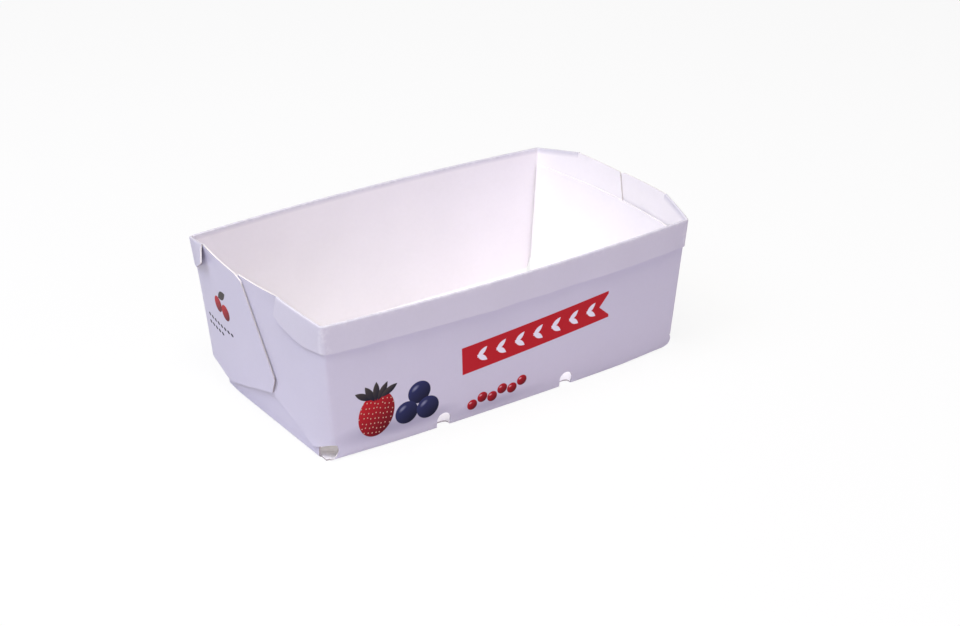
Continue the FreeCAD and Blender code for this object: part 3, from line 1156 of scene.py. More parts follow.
class Sheet:
    """Joins patches edge to edge and gives the sheet its thickness."""

    MERGE = 0.01
    LEAST_FACE = 1e-7

    def __init__(self, patches: Sequence[Patch], card: float) -> None:
        """Collect the patches.

        Args:
            patches: Grids whose shared edges lie on each other.
            card: Thickness of the board in millimetres.
        """
        self.card = card
        self._join(patches)
        self._thicken()

    def _join(self, patches: Sequence[Patch]) -> None:
        """Number the points of all grids and merge those that coincide.

        Args:
            patches: Grids whose shared edges lie on each other.
        """
        points, flats, folds, bands, quads = [], [], [], [], []
        start = 0
        for patch in patches:
            rows, columns = patch.fold.shape
            index = start + np.arange(rows * columns).reshape(rows, columns)
            quads.append(np.stack([index[:-1, :-1], index[:-1, 1:],
                                   index[1:, 1:], index[1:, :-1]],
                                  -1).reshape(-1, 4))
            points.append(patch.points.reshape(-1, 3))
            flats.append(patch.flat.reshape(-1, 2))
            folds.append(patch.fold.reshape(-1))
            bands.append(np.full(rows * columns, patch.band))
            start += rows * columns
        every = np.concatenate(points)
        self.flat = np.concatenate(flats)
        quads = np.concatenate(quads)
        merged = self._near(every)
        self.points = np.zeros((merged.max() + 1, 3))
        self.points[merged] = every
        self.fold = np.zeros(merged.max() + 1)
        np.maximum.at(self.fold, merged, np.concatenate(folds))
        self.band = np.zeros(merged.max() + 1)
        np.maximum.at(self.band, merged, np.concatenate(bands))
        faces = merged[quads]
        area = np.linalg.norm(np.cross(
            self.points[faces[:, 2]] - self.points[faces[:, 0]],
            self.points[faces[:, 3]] - self.points[faces[:, 1]]), axis=1)
        keep = area > self.LEAST_FACE
        self.faces = faces[keep]
        self.corner_flat = quads[keep]

    def _near(self, points: Array) -> Array:
        """Number points so that those in one cell match.

        Two grids of cells, the second set off by a part of a cell, hand
        the lowest number round, so that no cell's side parts a pair.

        Args:
            points: Every point.

        Returns:
            The number of each point's merged point.
        """
        grids = (np.floor(points / self.MERGE + 0.25),
                 np.rint(points / self.MERGE))
        second, first = (np.unique(grid.astype(np.int64), axis=0,
                                   return_inverse=True)[1].reshape(-1)
                         for grid in grids)
        number = first
        for _ in range(6):
            for cell in (second, first):
                lowest = np.full(cell.max() + 1, number.size)
                np.minimum.at(lowest, cell, number)
                number = lowest[cell]
        return np.unique(number, return_inverse=True)[1].reshape(-1)

    def _thicken(self) -> None:
        """Offset the middle surface both ways and wall its open edges."""
        p = self.points[self.faces]
        normal = np.cross(p[:, 2] - p[:, 0], p[:, 3] - p[:, 1])
        sums = np.zeros_like(self.points)
        for corner in range(4):
            np.add.at(sums, self.faces[:, corner], normal)
        length = np.linalg.norm(sums, axis=1, keepdims=True)
        self.normals = sums / np.maximum(length, 1e-12)
        edges = np.concatenate([self.faces[:, [i, (i + 1) % 4]]
                                for i in range(4)])
        loops = np.concatenate([self.corner_flat[:, [i, (i + 1) % 4]]
                                for i in range(4)])
        count = len(self.points)
        key = edges.min(1) * count + edges.max(1)
        _, where, times = np.unique(key, return_inverse=True,
                                    return_counts=True)
        where = where.reshape(-1)
        real = edges[:, 0] != edges[:, 1]
        lone = (times[where] == 1) & real
        self.open_edges = edges[lone]
        self.open_loops = loops[lone]
        LOG.info("sheet: %d points, %d faces, %d open edges, %d shared by "
                 "more than two", count, len(self.faces), lone.sum(),
                 (times > 2).sum())

    def build(self, name: str, materials: Sequence[bpy.types.Material]
              ) -> bpy.types.Object:
        """Make the mesh: outer face, inner face and cut edges.

        Args:
            name: Name of the piece.
            materials: Materials in the order of the Face options.

        Returns:
            The piece, its place in its mesh.
        """
        count = len(self.points)
        half = self.card / 2.0
        outer = self.points + self.normals * half
        inner = self.points - self.normals * half
        verts = np.concatenate([outer, inner]) * MILLIMETRE
        a, b = self.open_edges.T
        walls = np.stack([b, a, a + count, b + count], -1)
        faces = np.concatenate([self.faces, self.faces[:, ::-1] + count,
                                walls])
        la, lb = self.open_loops.T
        loops = np.concatenate([self.corner_flat,
                                self.corner_flat[:, ::-1],
                                np.stack([lb, la, la, lb], -1)])
        kind = np.concatenate([
            np.full(len(self.faces), Face.COATED.value),
            np.full(len(self.faces), Face.INSIDE.value),
            np.full(len(walls), Face.CUT_EDGE.value)])
        mesh = bpy.data.meshes.new(name)
        mesh.from_pydata(verts.tolist(), [], faces.tolist())
        mesh.polygons.foreach_set("material_index", kind.astype(np.int32))
        mesh.polygons.foreach_set("use_smooth", np.ones(len(faces), bool))
        flat = mesh.uv_layers.new(name="blank")
        uv = 0.5 + self.flat[loops.reshape(-1)] / BLANK_SPAN
        flat.data.foreach_set("uv", uv.astype(np.float32).reshape(-1))
        for title, values in (("fold", self.fold), ("band", self.band)):
            made = mesh.attributes.new(title, "FLOAT", "POINT")
            made.data.foreach_set("value", np.tile(values, 2)
                                  .astype(np.float32))
        self._sharpen(mesh, count)
        for material in materials:
            mesh.materials.append(material)
        piece = bpy.data.objects.new(name, mesh)
        bpy.context.scene.collection.objects.link(piece)
        return piece

    def _sharpen(self, mesh: bpy.types.Mesh, count: int) -> None:
        """Mark the cut edges sharp, on the outer and the inner face.

        Args:
            mesh: The finished mesh.
            count: How many points the outer face has.
        """
        ends = np.zeros(len(mesh.edges) * 2, np.int32)
        mesh.edges.foreach_get("vertices", ends)
        ends = ends.reshape(-1, 2).astype(np.int64)
        total = 2 * count
        key = ends.min(1) * total + ends.max(1)
        lone = np.sort(self.open_edges, 1)
        sharp = np.concatenate([lone[:, 0] * total + lone[:, 1],
                                (lone[:, 0] + count) * total
                                + lone[:, 1] + count])
        mark = mesh.attributes.new("sharp_edge", "BOOLEAN", "EDGE")
        mark.data.foreach_set("value", np.isin(key, sharp))


@dataclass(frozen=True)
class FoldedTray:
    """The whole tray: base, end panels and two long sides, one sheet."""

    plan: TrayPlan = field(default_factory=TrayPlan)
    front_slack: Slack = Slack()
    back_slack: Slack = Slack(over_tab=2.8, over_flap=0.2)

    def build(self, materials: Sequence[bpy.types.Material]
              ) -> bpy.types.Object:
        """Build the tray and put it in the place of the solid one.

        Args:
            materials: Materials in the order of the Face options.

        Returns:
            The tray.
        """
        front = LongSide(self.plan, self.front_slack)
        back = LongSide(self.plan, self.back_slack, vented=False,
                        left_bulge=-0.6, left_start=82.2, right_start=83.0)
        end = EndPanel(self.plan)
        far_end = EndPanel(self.plan, under_inset=1.3)
        base = Base(self.plan, front, back, end, far_end)
        ends = [end.patch(base.foot_y(end)),
                far_end.patch(base.foot_y(far_end)).half_turned()]
        ends += front.end_patches()
        ends += [patch.half_turned() for patch in back.end_patches()]
        patches = [base.patch(), front.wall(), back.wall().half_turned()]
        patches += [patch.moved(self.plan.settling) for patch in ends]
        patches = [patch.moved(self.plan.squeeze) for patch in patches]
        sheet = Sheet(patches, self.plan.card)
        piece = sheet.build("folded_tray", materials)
        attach(piece, "root")
        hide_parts(TRAY_NODE)
        return piece


class Tree:
    """Short ways to add nodes to a tree and to join them."""

    def __init__(self, tree: bpy.types.NodeTree) -> None:
        """Remember the tree that nodes go into."""
        self.tree = tree

    def node(self, kind: str, **values: object) -> bpy.types.Node:
        """Add a node.

        Args:
            kind: Name of the node's type, without its prefix.
            values: Properties to set by name.

        Returns:
            The node.
        """
        made = self.tree.nodes.new("ShaderNode" + kind)
        for name, value in values.items():
            setattr(made, name, value)
        return made

    def feed(self, target: Socket, value: object) -> None:
        """Join a socket to another one, or set its value."""
        if isinstance(value, Socket):
            self.tree.links.new(value, target)
        else:
            target.default_value = value

    def math(self, operation: str, *values: object,
             clamp: bool = False) -> Socket:
        """Add a math node.

        Args:
            operation: What it works out.
            values: Sockets or numbers for its inputs.
            clamp: Whether the result is kept from 0 to 1.

        Returns:
            Its result.
        """
        made = self.node("Math", operation=operation, use_clamp=clamp)
        for target, value in zip(made.inputs, values):
            self.feed(target, value)
        return made.outputs[0]

    def vector(self, operation: str, *values: object
               ) -> Socket:
        """Add a vector math node.

        Args:
            operation: What it works out.
            values: Sockets or vectors for its inputs.

        Returns:
            Its result, a number for a length or a dot product.
        """
        made = self.node("VectorMath", operation=operation)
        for target, value in zip(made.inputs, values):
            self.feed(target, value)
        if operation in ("LENGTH", "DOT_PRODUCT"):
            return made.outputs["Value"]
        return made.outputs[0]

    def parts(self, vector: Socket
              ) -> List[Socket]:
        """Split a vector.

        Args:
            vector: The vector.

        Returns:
            Its X, Y and Z.
        """
        made = self.node("SeparateXYZ")
        self.feed(made.inputs[0], vector)
        return list(made.outputs)

    def join(self, x: object, y: object, z: object = 0.0
             ) -> Socket:
        """Join three numbers to a vector.

        Args:
            x: Its X.
            y: Its Y.
            z: Its Z.

        Returns:
            The vector.
        """
        made = self.node("CombineXYZ")
        for target, value in zip(made.inputs, (x, y, z)):
            self.feed(target, value)
        return made.outputs[0]

    def blend(self, share: object, first: object, second: object,
              mode: str = "MIX") -> Socket:
        """Mix two colours.

        Args:
            share: How much of the second one.
            first: The first colour.
            second: The second colour.
            mode: How they are mixed.

        Returns:
            The mixed colour.
        """
        made = self.node("Mix", data_type="RGBA", blend_type=mode)
        self.feed(made.inputs["Factor"], share)
        self.feed(made.inputs[6], first)
        self.feed(made.inputs[7], second)
        return made.outputs[2]

    def noise(self, place: Socket, scale: float,
              detail: float = 2.0) -> Socket:
        """Add a noise texture.

        Args:
            place: Place at which it is read.
            scale: How many features to a metre.
            detail: How many finer layers it has.

        Returns:
            Its value, near 0.5.
        """
        made = self.node("TexNoise")
        self.feed(made.inputs["Vector"], place)
        made.inputs["Scale"].default_value = scale
        made.inputs["Detail"].default_value = detail
        return made.outputs[0]

    def spread(self, value: Socket, low: float, high: float,
               new_low: float = 0.0, new_high: float = 1.0
               ) -> Socket:
        """Map a range of values to another one.

        Args:
            value: The value to map.
            low: Where the range begins.
            high: Where it ends.
            new_low: Result at its beginning.
            new_high: Result at its end.

        Returns:
            The result, kept within the new range.
        """
        made = self.node("MapRange")
        for target, number in zip(made.inputs,
                                  (value, low, high, new_low, new_high)):
            self.feed(target, number)
        return made.outputs[0]


def new_group(name: str, inputs: Dict[str, str], outputs: Dict[str, str]
              ) -> Tuple[Tree, Sequence[Socket], Sequence[Socket]]:
    """Make a node group with named sockets.

    Args:
        name: Name of the group.
        inputs: Kind of each input by its name.
        outputs: Kind of each output by its name.

    Returns:
        The group's tree, the sockets it is given and its results.
    """
    group = bpy.data.node_groups.new(name, "ShaderNodeTree")
    for way, sockets in (("INPUT", inputs), ("OUTPUT", outputs)):
        for title, kind in sockets.items():
            group.interface.new_socket(title, in_out=way,
                                       socket_type="NodeSocket" + kind)
    return (Tree(group), group.nodes.new("NodeGroupInput").outputs,
            group.nodes.new("NodeGroupOutput").inputs)


class Form(Enum):
    """Outlines that the print is made of."""

    ROUND = "print_round"
    LEAF = "print_leaf"
    SLAB = "print_slab"


def form_group(form: Form) -> bpy.types.NodeTree:
    """Node group for one outline of the print.

    In the outline's own frame (x, y), 1 at its ends, the ink's edge is
    where a distance is 0: (1 - r) b for a round, (1 - x^2 - |y|) b for
    a leaf, and the least distance to a side for a slab.

    Args:
        form: Which outline.

    Returns:
        The group: Place, Centre, Size, Turn, Soft to Mask and Local.
    """
    tree, given, result = new_group(
        form.value, {"Place": "Vector", "Centre": "Vector",
                     "Size": "Vector", "Turn": "Float", "Soft": "Float"},
        {"Mask": "Float", "Local": "Vector"})
    step = tree.vector("SUBTRACT", given["Place"], given["Centre"])
    turned = tree.node("VectorRotate", rotation_type="Z_AXIS")
    tree.feed(turned.inputs["Vector"], step)
    tree.feed(turned.inputs["Angle"],
              tree.math("MULTIPLY", given["Turn"], -1.0))
    local = tree.vector("DIVIDE", turned.outputs[0], given["Size"])
    x, y, _ = tree.parts(local)
    width, height, _ = tree.parts(given["Size"])
    if form is Form.ROUND:
        gap = tree.math("SUBTRACT", 1.0, tree.vector("LENGTH", local))
        gap = tree.math("MULTIPLY", gap, height)
    elif form is Form.LEAF:
        gap = tree.math("SUBTRACT", 1.0, tree.math("MULTIPLY", x, x))
        gap = tree.math("SUBTRACT", gap, tree.math("ABSOLUTE", y))
        gap = tree.math("MULTIPLY", gap, height)
    else:
        side = tree.math("SUBTRACT", 1.0, tree.math("ABSOLUTE", x))
        rise = tree.math("SUBTRACT", 1.0, tree.math("ABSOLUTE", y))
        gap = tree.math("MINIMUM", tree.math("MULTIPLY", side, width),
                        tree.math("MULTIPLY", rise, height))
    share = tree.math("DIVIDE", gap, given["Soft"])
    tree.feed(result["Mask"], tree.math("ADD", share, 0.5, clamp=True))
    tree.feed(result["Local"], local)
    return tree.tree


@dataclass(frozen=True)
class Motif:
    """One shape of the print, in millimetres on its panel.

    Attributes:
        form: Its outline.
        centre: Its middle.
        size: Half its length and half its width.
        turn: Turn in degrees.
        colour: Colour of its ink.
        edge: Colour on its far side, from which it is shaded.
        opacity: How much of the board it covers.
        soft: Width over which its edge fades.
        seeds: Size of its seeds, 0 for none.
        on_flap: Whether it is printed on the end's flap.
    """

    form: Form
    centre: Place
    size: Place
    colour: Colour
    edge: Colour
    turn: float = 0.0
    opacity: float = 1.0
    soft: float = 0.18
    seeds: float = 0.0
    on_flap: bool = False


RED = (0.50, 0.013, 0.022)
DEEP_RED = (0.12, 0.004, 0.010)
BLUE = (0.030, 0.034, 0.115)
NAVY = (0.008, 0.008, 0.026)
STALK = (0.060, 0.050, 0.045)
WHITE = (0.84, 0.81, 0.90)
SHADOW = (0.30, 0.28, 0.40)
SEED = (0.85, 0.52, 0.40)
PALE_GLINT = (0.42, 0.44, 0.62)
RED_GLINT = (0.9, 0.55, 0.6)
LIGHT_FROM = 125.0      # side from which round fruit is lit, in degrees
INK_DULLING = 0.8       # share of the board's highlights that ink takes


@dataclass(frozen=True)
class FruitPrint:
    """Fruit, a ribbon and a small mark on the coated side of the board.

    Attributes:
        plan: The tray's walls, for the places on the flat blank.
        ribbon: Middle of the ribbon on the front wall.
        ribbon_size: Half the ribbon's length and half its width.
        ribbon_turn: Its slant in degrees.
        fork_depth: How deep its forked end is cut.
        leaf_step: From one pair of its leaves to the next.
        leaf_steps: How many steps its row of leaves spans.
        leaf_size: Half a leaf's length and half its width.
        leaf_turn: Slant of a leaf from the ribbon, in degrees.
        leaf_rise: Distance of a leaf's middle from the ribbon's.
        ink_edge: Width over which an edge of ink fades.
    """

    plan: TrayPlan
    ribbon: Place = (10.5, 31.0)
    ribbon_size: Place = (38.0, 6.4)
    ribbon_turn: float = 4.0
    fork_depth: float = 5.0
    leaf_step: float = 9.4
    leaf_steps: int = 6
    leaf_size: Place = (3.1, 1.15)
    leaf_turn: float = 38.0
    leaf_rise: float = 1.3
    ink_edge: float = 0.18

    def motifs(self) -> List[Motif]:
        """Every plain shape of the print, from the lowest to the top."""
        shadows = [Motif(Form.ROUND, centre, size, SHADOW, SHADOW,
                         opacity=opacity, soft=soft)
                   for centre, size, opacity, soft in (
                       ((-66.0, 8.6), (14.0, 3.4), 0.55, 4.5),
                       ((-47.0, 7.6), (13.0, 2.8), 0.55, 3.6),
                       ((-10.5, 4.2), (17.0, 2.0), 0.4, 2.8))]
        return shadows + self._strawberry() + self._grapes() + self._small()

    @staticmethod
    def _strawberry() -> List[Motif]:
        """A large fruit with seeds and a pointed cap of leaves."""
        leaves = [Motif(Form.LEAF, (-73.4 + 2.9 * i, 26.6 - 0.5 * abs(i - 2)),
                        (4.4, 1.5), STALK, NAVY, turn=150.0 - 30.0 * i)
                  for i in range(5)]
        return [Motif(Form.ROUND, (-67.4, 16.2), (10.2, 8.2), RED, DEEP_RED,
                      turn=78.0, seeds=1.0)] + leaves

    @staticmethod
    def _grapes() -> List[Motif]:
        """Dark round fruit in a heap, each with a pale glint.

        Returns:
            The fruits and their glints.
        """
        places = [(-47.6, 20.4), (-53.4, 12.6), (-43.4, 12.2)]
        heap = []
        for x, z in places:
            heap.append(Motif(Form.ROUND, (x, z), (5.3, 5.1), BLUE, NAVY))
            heap.append(Motif(Form.ROUND, (x - 1.8, z + 2.0), (1.3, 0.8),
                              PALE_GLINT, BLUE, turn=35.0,
                              opacity=0.7, soft=1.1))
        return heap

    @staticmethod
    def _small() -> List[Motif]:
        """Small red fruit in a loose row, and the marks on the flap.

        Returns:
            The row's shapes, then the flap's.
        """
        row = []
        for i in range(6):
            place = (-21.5 + 5.0 * i, 6.2 + 1.7 * (i % 2) + 0.5 * i)
            row.append(Motif(Form.ROUND, place, (2.5, 2.4), RED, DEEP_RED))
            row.append(Motif(Form.ROUND, (place[0] - 0.8, place[1] + 0.9),
                             (0.6, 0.4), RED_GLINT, RED, soft=0.5))
        mark = [Motif(Form.LEAF, (32.6, 47.4), (4.6, 1.9), STALK, STALK,
                      turn=30.0, on_flap=True)]
        mark += [Motif(Form.ROUND, centre, (3.7, 3.6), RED, DEEP_RED,
                       on_flap=True)
                 for centre in ((27.6, 41.6), (34.6, 40.2))]
        dots = [Motif(Form.LEAF, (14.0 + 3.4 * i, z), (1.35, 0.75),
                      NAVY, NAVY, turn=-8.0, on_flap=True)
                for z, count in ((31.0, 8), (27.4, 5)) for i in range(count)]
        return row + mark + dots

    def group(self) -> bpy.types.NodeTree:
        """Node group of the print.

        Returns:
            The group: Blank, the UV, and Board to Colour and Ink.
        """
        tree, given, result = new_group(
            "fruit_print", {"Blank": "Vector", "Board": "Color"},
            {"Colour": "Color", "Ink": "Float"})
        front, flap = self._places(tree, given["Blank"])
        forms = {form: form_group(form) for form in Form}
        colour: Socket = given["Board"]
        ink: object = 0.0
        for motif in self.motifs():
            place = flap if motif.on_flap else front
            mask, local = self._shape(tree, forms[motif.form], place,
                                      motif.centre, motif.size,
                                      motif.turn, motif.soft)
            mask = tree.math("MULTIPLY", mask, motif.opacity)
            colour = tree.blend(mask, colour,
                                self._shaded(tree, local, motif))
            ink = tree.math("MAXIMUM", ink, mask)
        colour, ink = self._ribbon(tree, forms, front, colour, ink)
        tree.feed(result["Colour"], colour)
        tree.feed(result["Ink"], ink)
        return tree.tree

    def _places(self, tree: Tree, blank: Socket
                ) -> Tuple[Socket, Socket]:
        """Places on the front wall and on the near end's top flap.

        Args:
            tree: Tree that the nodes go into.
            blank: UV of the flat blank.

        Returns:
            (x, height) on the wall, and (distance from the corner fold,
            height) on the flap, in millimetres.
        """
        plan = self.plan
        centred = tree.vector("SUBTRACT", blank, (0.5, 0.5, 0.0))
        u, v, _ = tree.parts(tree.vector(
            "MULTIPLY", centred, (BLANK_SPAN, BLANK_SPAN, 0.0)))
        low = tree.math("SUBTRACT", tree.math("MULTIPLY", v, -1.0),
                        plan.flat_side)
        front = tree.join(u, tree.math("DIVIDE", low, SLANT))
        rise = tree.math("SUBTRACT", v, plan.flat_side)
        rise = tree.math("DIVIDE", rise, SLANT)
        lean = (plan.rim_length - plan.base_length) / 2.0 / plan.height
        side = tree.math("ADD", tree.math("MULTIPLY", rise, lean),
                         plan.base_length / 2.0)
        along = tree.math("SUBTRACT", tree.math("MULTIPLY", u, -1.0), side)
        return front, tree.join(along, rise)

    @staticmethod
    def _shape(tree: Tree, form: bpy.types.NodeTree,
               place: Socket, centre: Place, size: Place,
               turn: float, soft: float
               ) -> Tuple[Socket, Socket]:
        """Add one outline.

        Args:
            tree: Tree that the nodes go into.
            form: Group of the outline.
            place: Place on the panel.
            centre: The outline's middle.
            size: Half its length and half its width.
            turn: Its turn in degrees.
            soft: Width over which its edge fades.

        Returns:
            Its mask, and the place in its own frame.
        """
        made = tree.node("Group", node_tree=form)
        tree.feed(made.inputs["Place"], place)
        made.inputs["Centre"].default_value = (*centre, 0.0)
        made.inputs["Size"].default_value = (*size, 1.0)
        made.inputs["Turn"].default_value = math.radians(turn)
        made.inputs["Soft"].default_value = soft
        return made.outputs["Mask"], made.outputs["Local"]

    @staticmethod
    def _shaded(tree: Tree, local: Socket,
                motif: Motif) -> Socket:
        """Colour of a shape: light at its upper left, dark at its edge.

        Args:
            tree: Tree that the nodes go into.
            local: Place in the shape's own frame.
            motif: The shape.

        Returns:
            The colour.
        """
        if motif.colour == motif.edge:
            return tree.blend(0.0, (*motif.colour, 1.0), (0, 0, 0, 1))
        side = math.radians(LIGHT_FROM - motif.turn)
        light = (math.cos(side), math.sin(side), 0.0)
        bright = tree.vector("DOT_PRODUCT", local, light)
        bright = tree.spread(bright, -0.95, 0.75)
        colour = tree.blend(bright, (*motif.edge, 1.0),
                            (*motif.colour, 1.0))
        if motif.seeds > 0.0:
            cells = tree.node("TexVoronoi", voronoi_dimensions="2D")
            tree.feed(cells.inputs["Vector"], local)
            cells.inputs["Scale"].default_value = 4.6
            cells.inputs["Randomness"].default_value = 0.35
            near = cells.outputs["Distance"]
            dimple = tree.spread(near, 0.34, 0.12)
            colour = tree.blend(tree.math("MULTIPLY", dimple, 0.55),
                                colour, (*DEEP_RED, 1.0))
            seed = tree.spread(near, 0.17, 0.11)
            colour = tree.blend(tree.math("MULTIPLY", seed, 0.8), colour,
                                (*SEED, 1.0))
        return colour

    def _ribbon(self, tree: Tree, forms: Dict[Form, bpy.types.NodeTree],
                front: Socket, colour: Socket,
                ink: Socket
                ) -> Tuple[Socket, Socket]:
        """Slanted red ribbon with a forked end and a row of leaves.

        Args:
            tree: Tree that the nodes go into.
            forms: Group of each outline.
            front: Place on the front wall.
            colour: Colour below the ribbon.
            ink: Ink below the ribbon.

        Returns:
            Colour and ink with the ribbon on top.
        """
        mask, local = self._shape(tree, forms[Form.SLAB], front,
                                  self.ribbon, self.ribbon_size,
                                  self.ribbon_turn, self.ink_edge)
        length, width = self.ribbon_size
        along, across, _ = tree.parts(tree.vector(
            "MULTIPLY", local, (length, width, 0.0)))
        fork = tree.math("SUBTRACT", length - self.fork_depth, along)
        fork = tree.math("ADD", fork, tree.math("ABSOLUTE", across))
        fork = tree.math("DIVIDE", fork, self.ink_edge, clamp=True)
        mask = tree.math("MULTIPLY", mask, fork)
        colour = tree.blend(mask, colour, (*RED, 1.0))
        half = self.leaf_step / 2.0
        step = tree.math("WRAP", along, half, -half)
        reach = (self.leaf_steps / 2.0 + 0.5) * self.leaf_step - 0.05
        inside = tree.math("LESS_THAN", tree.math("ABSOLUTE", along), reach)
        place = tree.join(step, across)
        for side in (1.0, -1.0):
            leaf, _ = self._shape(tree, forms[Form.LEAF], place,
                                  (0.0, side * self.leaf_rise),
                                  self.leaf_size, side * self.leaf_turn,
                                  self.ink_edge)
            leaf = tree.math("MULTIPLY", leaf, inside)
            leaf = tree.math("MULTIPLY", leaf, mask)
            colour = tree.blend(leaf, colour, (*WHITE, 1.0))
        return colour, tree.math("MAXIMUM", ink, mask)


CLOUDS = 38.0           # features to a metre of the board's faint clouds
FLECKS = 620.0          # of its flecks
CRACKS = 420.0          # of the cracks along its folds
FIBRES = 1400.0         # of its fibres
WAVES = 26.0            # of its slow unevenness


@dataclass(frozen=True)
class BoardFinish:
    """A surface of the solid board.

    Attributes:
        name: Name of the material.
        colour: Its colour.
        band: Its colour on the rim band.
        worn: Its colour where a fold has cracked it.
        roughness: How dull it is.
        coat: Weight of the clear layer on top.
        mottle: How much the tone varies.
        grain: Height of the fibres, in millimetres.
        wave: Height of the sheet's slow unevenness, in millimetres.
        gloss: Strength of its highlights; ink has a fifth of it.
        upright: Its colour where it faces sideways, if that differs: painted
            shade, darker than on faces turned up.
    """

    name: str
    colour: Colour
    band: Colour
    worn: Colour
    roughness: float
    coat: float
    mottle: float
    grain: float
    wave: float
    gloss: float = 0.5
    upright: Optional[Colour] = None

    def material(self, print_group: Optional[bpy.types.NodeTree] = None
                 ) -> bpy.types.Material:
        """Make the material, with the print on it if one is given.

        Args:
            print_group: Group that maps the blank to a colour and ink.

        Returns:
            The material.
        """
        made = bpy.data.materials.new(self.name)
        made.use_nodes = True
        tree = Tree(made.node_tree)
        shader = made.node_tree.nodes["Principled BSDF"]
        place = tree.node("TexCoord").outputs["Object"]
        colour = self._tone(tree, place)
        ink: object = 0.0
        if print_group is not None:
            printed = tree.node("Group", node_tree=print_group)
            blank = tree.node("UVMap", uv_map="blank").outputs[0]
            tree.feed(printed.inputs["Blank"], blank)
            tree.feed(printed.inputs["Board"], colour)
            colour, ink = printed.outputs["Colour"], printed.outputs["Ink"]
        tree.feed(shader.inputs["Base Color"], colour)
        fibre = tree.noise(place, FIBRES, 3.0)
        rough = tree.spread(fibre, 0.3, 0.7, self.roughness - 0.05,
                            self.roughness + 0.05)
        rough = tree.math("SUBTRACT", rough, tree.math("MULTIPLY", ink, 0.06))
        tree.feed(shader.inputs["Roughness"], rough)
        gloss = tree.math("MULTIPLY", ink, -INK_DULLING * self.gloss)
        gloss = tree.math("ADD", gloss, self.gloss)
        tree.feed(shader.inputs["Specular IOR Level"], gloss)
        shader.inputs["Coat Weight"].default_value = self.coat
        shader.inputs["Coat Roughness"].default_value = 0.35
        tree.feed(shader.inputs["Normal"], self._relief(tree, place, fibre))
        return made

    def _tone(self, tree: Tree, place: Socket
              ) -> Socket:
        """Board colour: faint clouds, flecks, painted shade on faces turned
        sideways, and wear along the folds.

        Args:
            tree: Tree that the nodes go into.
            place: Place on the piece.

        Returns:
            The colour.
        """
        cloud = tree.noise(place, CLOUDS, 3.0)
        fleck = tree.noise(place, FLECKS, 2.0)
        tone = tree.math("ADD", tree.math("MULTIPLY", cloud, 0.65),
                         tree.math("MULTIPLY", fleck, 0.35))
        band = tree.node("Attribute", attribute_name="band").outputs["Fac"]
        colour = tree.blend(band, (*self.colour, 1.0), (*self.band, 1.0))
        # Painted shade: where the finish sets an upright colour, faces turned
        # sideways take that darker colour and faces turned up keep the lighter
        # one.
        if self.upright is not None:
            normal = tree.node("NewGeometry").outputs["Normal"]
            up = tree.spread(tree.parts(normal)[2], 0.1, 0.7)
            colour = tree.blend(up, (*self.upright, 1.0), colour)
        dull = 1.0 - 2.0 * self.mottle
        shade = tree.blend(tree.spread(tone, 0.35, 0.65),
                           (dull, dull, dull, 1.0), (1.0, 1.0, 1.0, 1.0))
        colour = tree.blend(1.0, colour, shade, "MULTIPLY")
        fold = tree.node("Attribute", attribute_name="fold").outputs["Fac"]
        crack = tree.spread(tree.noise(place, CRACKS, 4.0), 0.42, 0.62)
        wear = tree.math("MULTIPLY", tree.math("MULTIPLY", fold, crack), 0.5)
        return tree.blend(wear, colour, (*self.worn, 1.0))

    def _relief(self, tree: Tree, place: Socket,
                fibre: Socket) -> Socket:
        """Normal with fibres and the sheet's slow unevenness.

        Args:
            tree: Tree that the nodes go into.
            place: Place on the piece.
            fibre: Height of the fibres, from 0 to 1.

        Returns:
            The normal.
        """
        bumps = []
        for height, deep in ((tree.noise(place, WAVES, 1.0), self.wave),
                             (fibre, self.grain)):
            bump = tree.node("Bump")
            bump.inputs["Distance"].default_value = deep * MILLIMETRE
            bump.inputs["Strength"].default_value = 1.0
            tree.feed(bump.inputs["Height"], height)
            bumps.append(bump)
        tree.feed(bumps[1].inputs["Normal"], bumps[0].outputs[0])
        return bumps[1].outputs[0]


@dataclass(frozen=True)
class Lamp:
    """A soft square lamp that looks at the tray; metres and watts."""

    name: str
    place: Tuple[float, float, float]
    size: float
    power: float
    colour: Colour


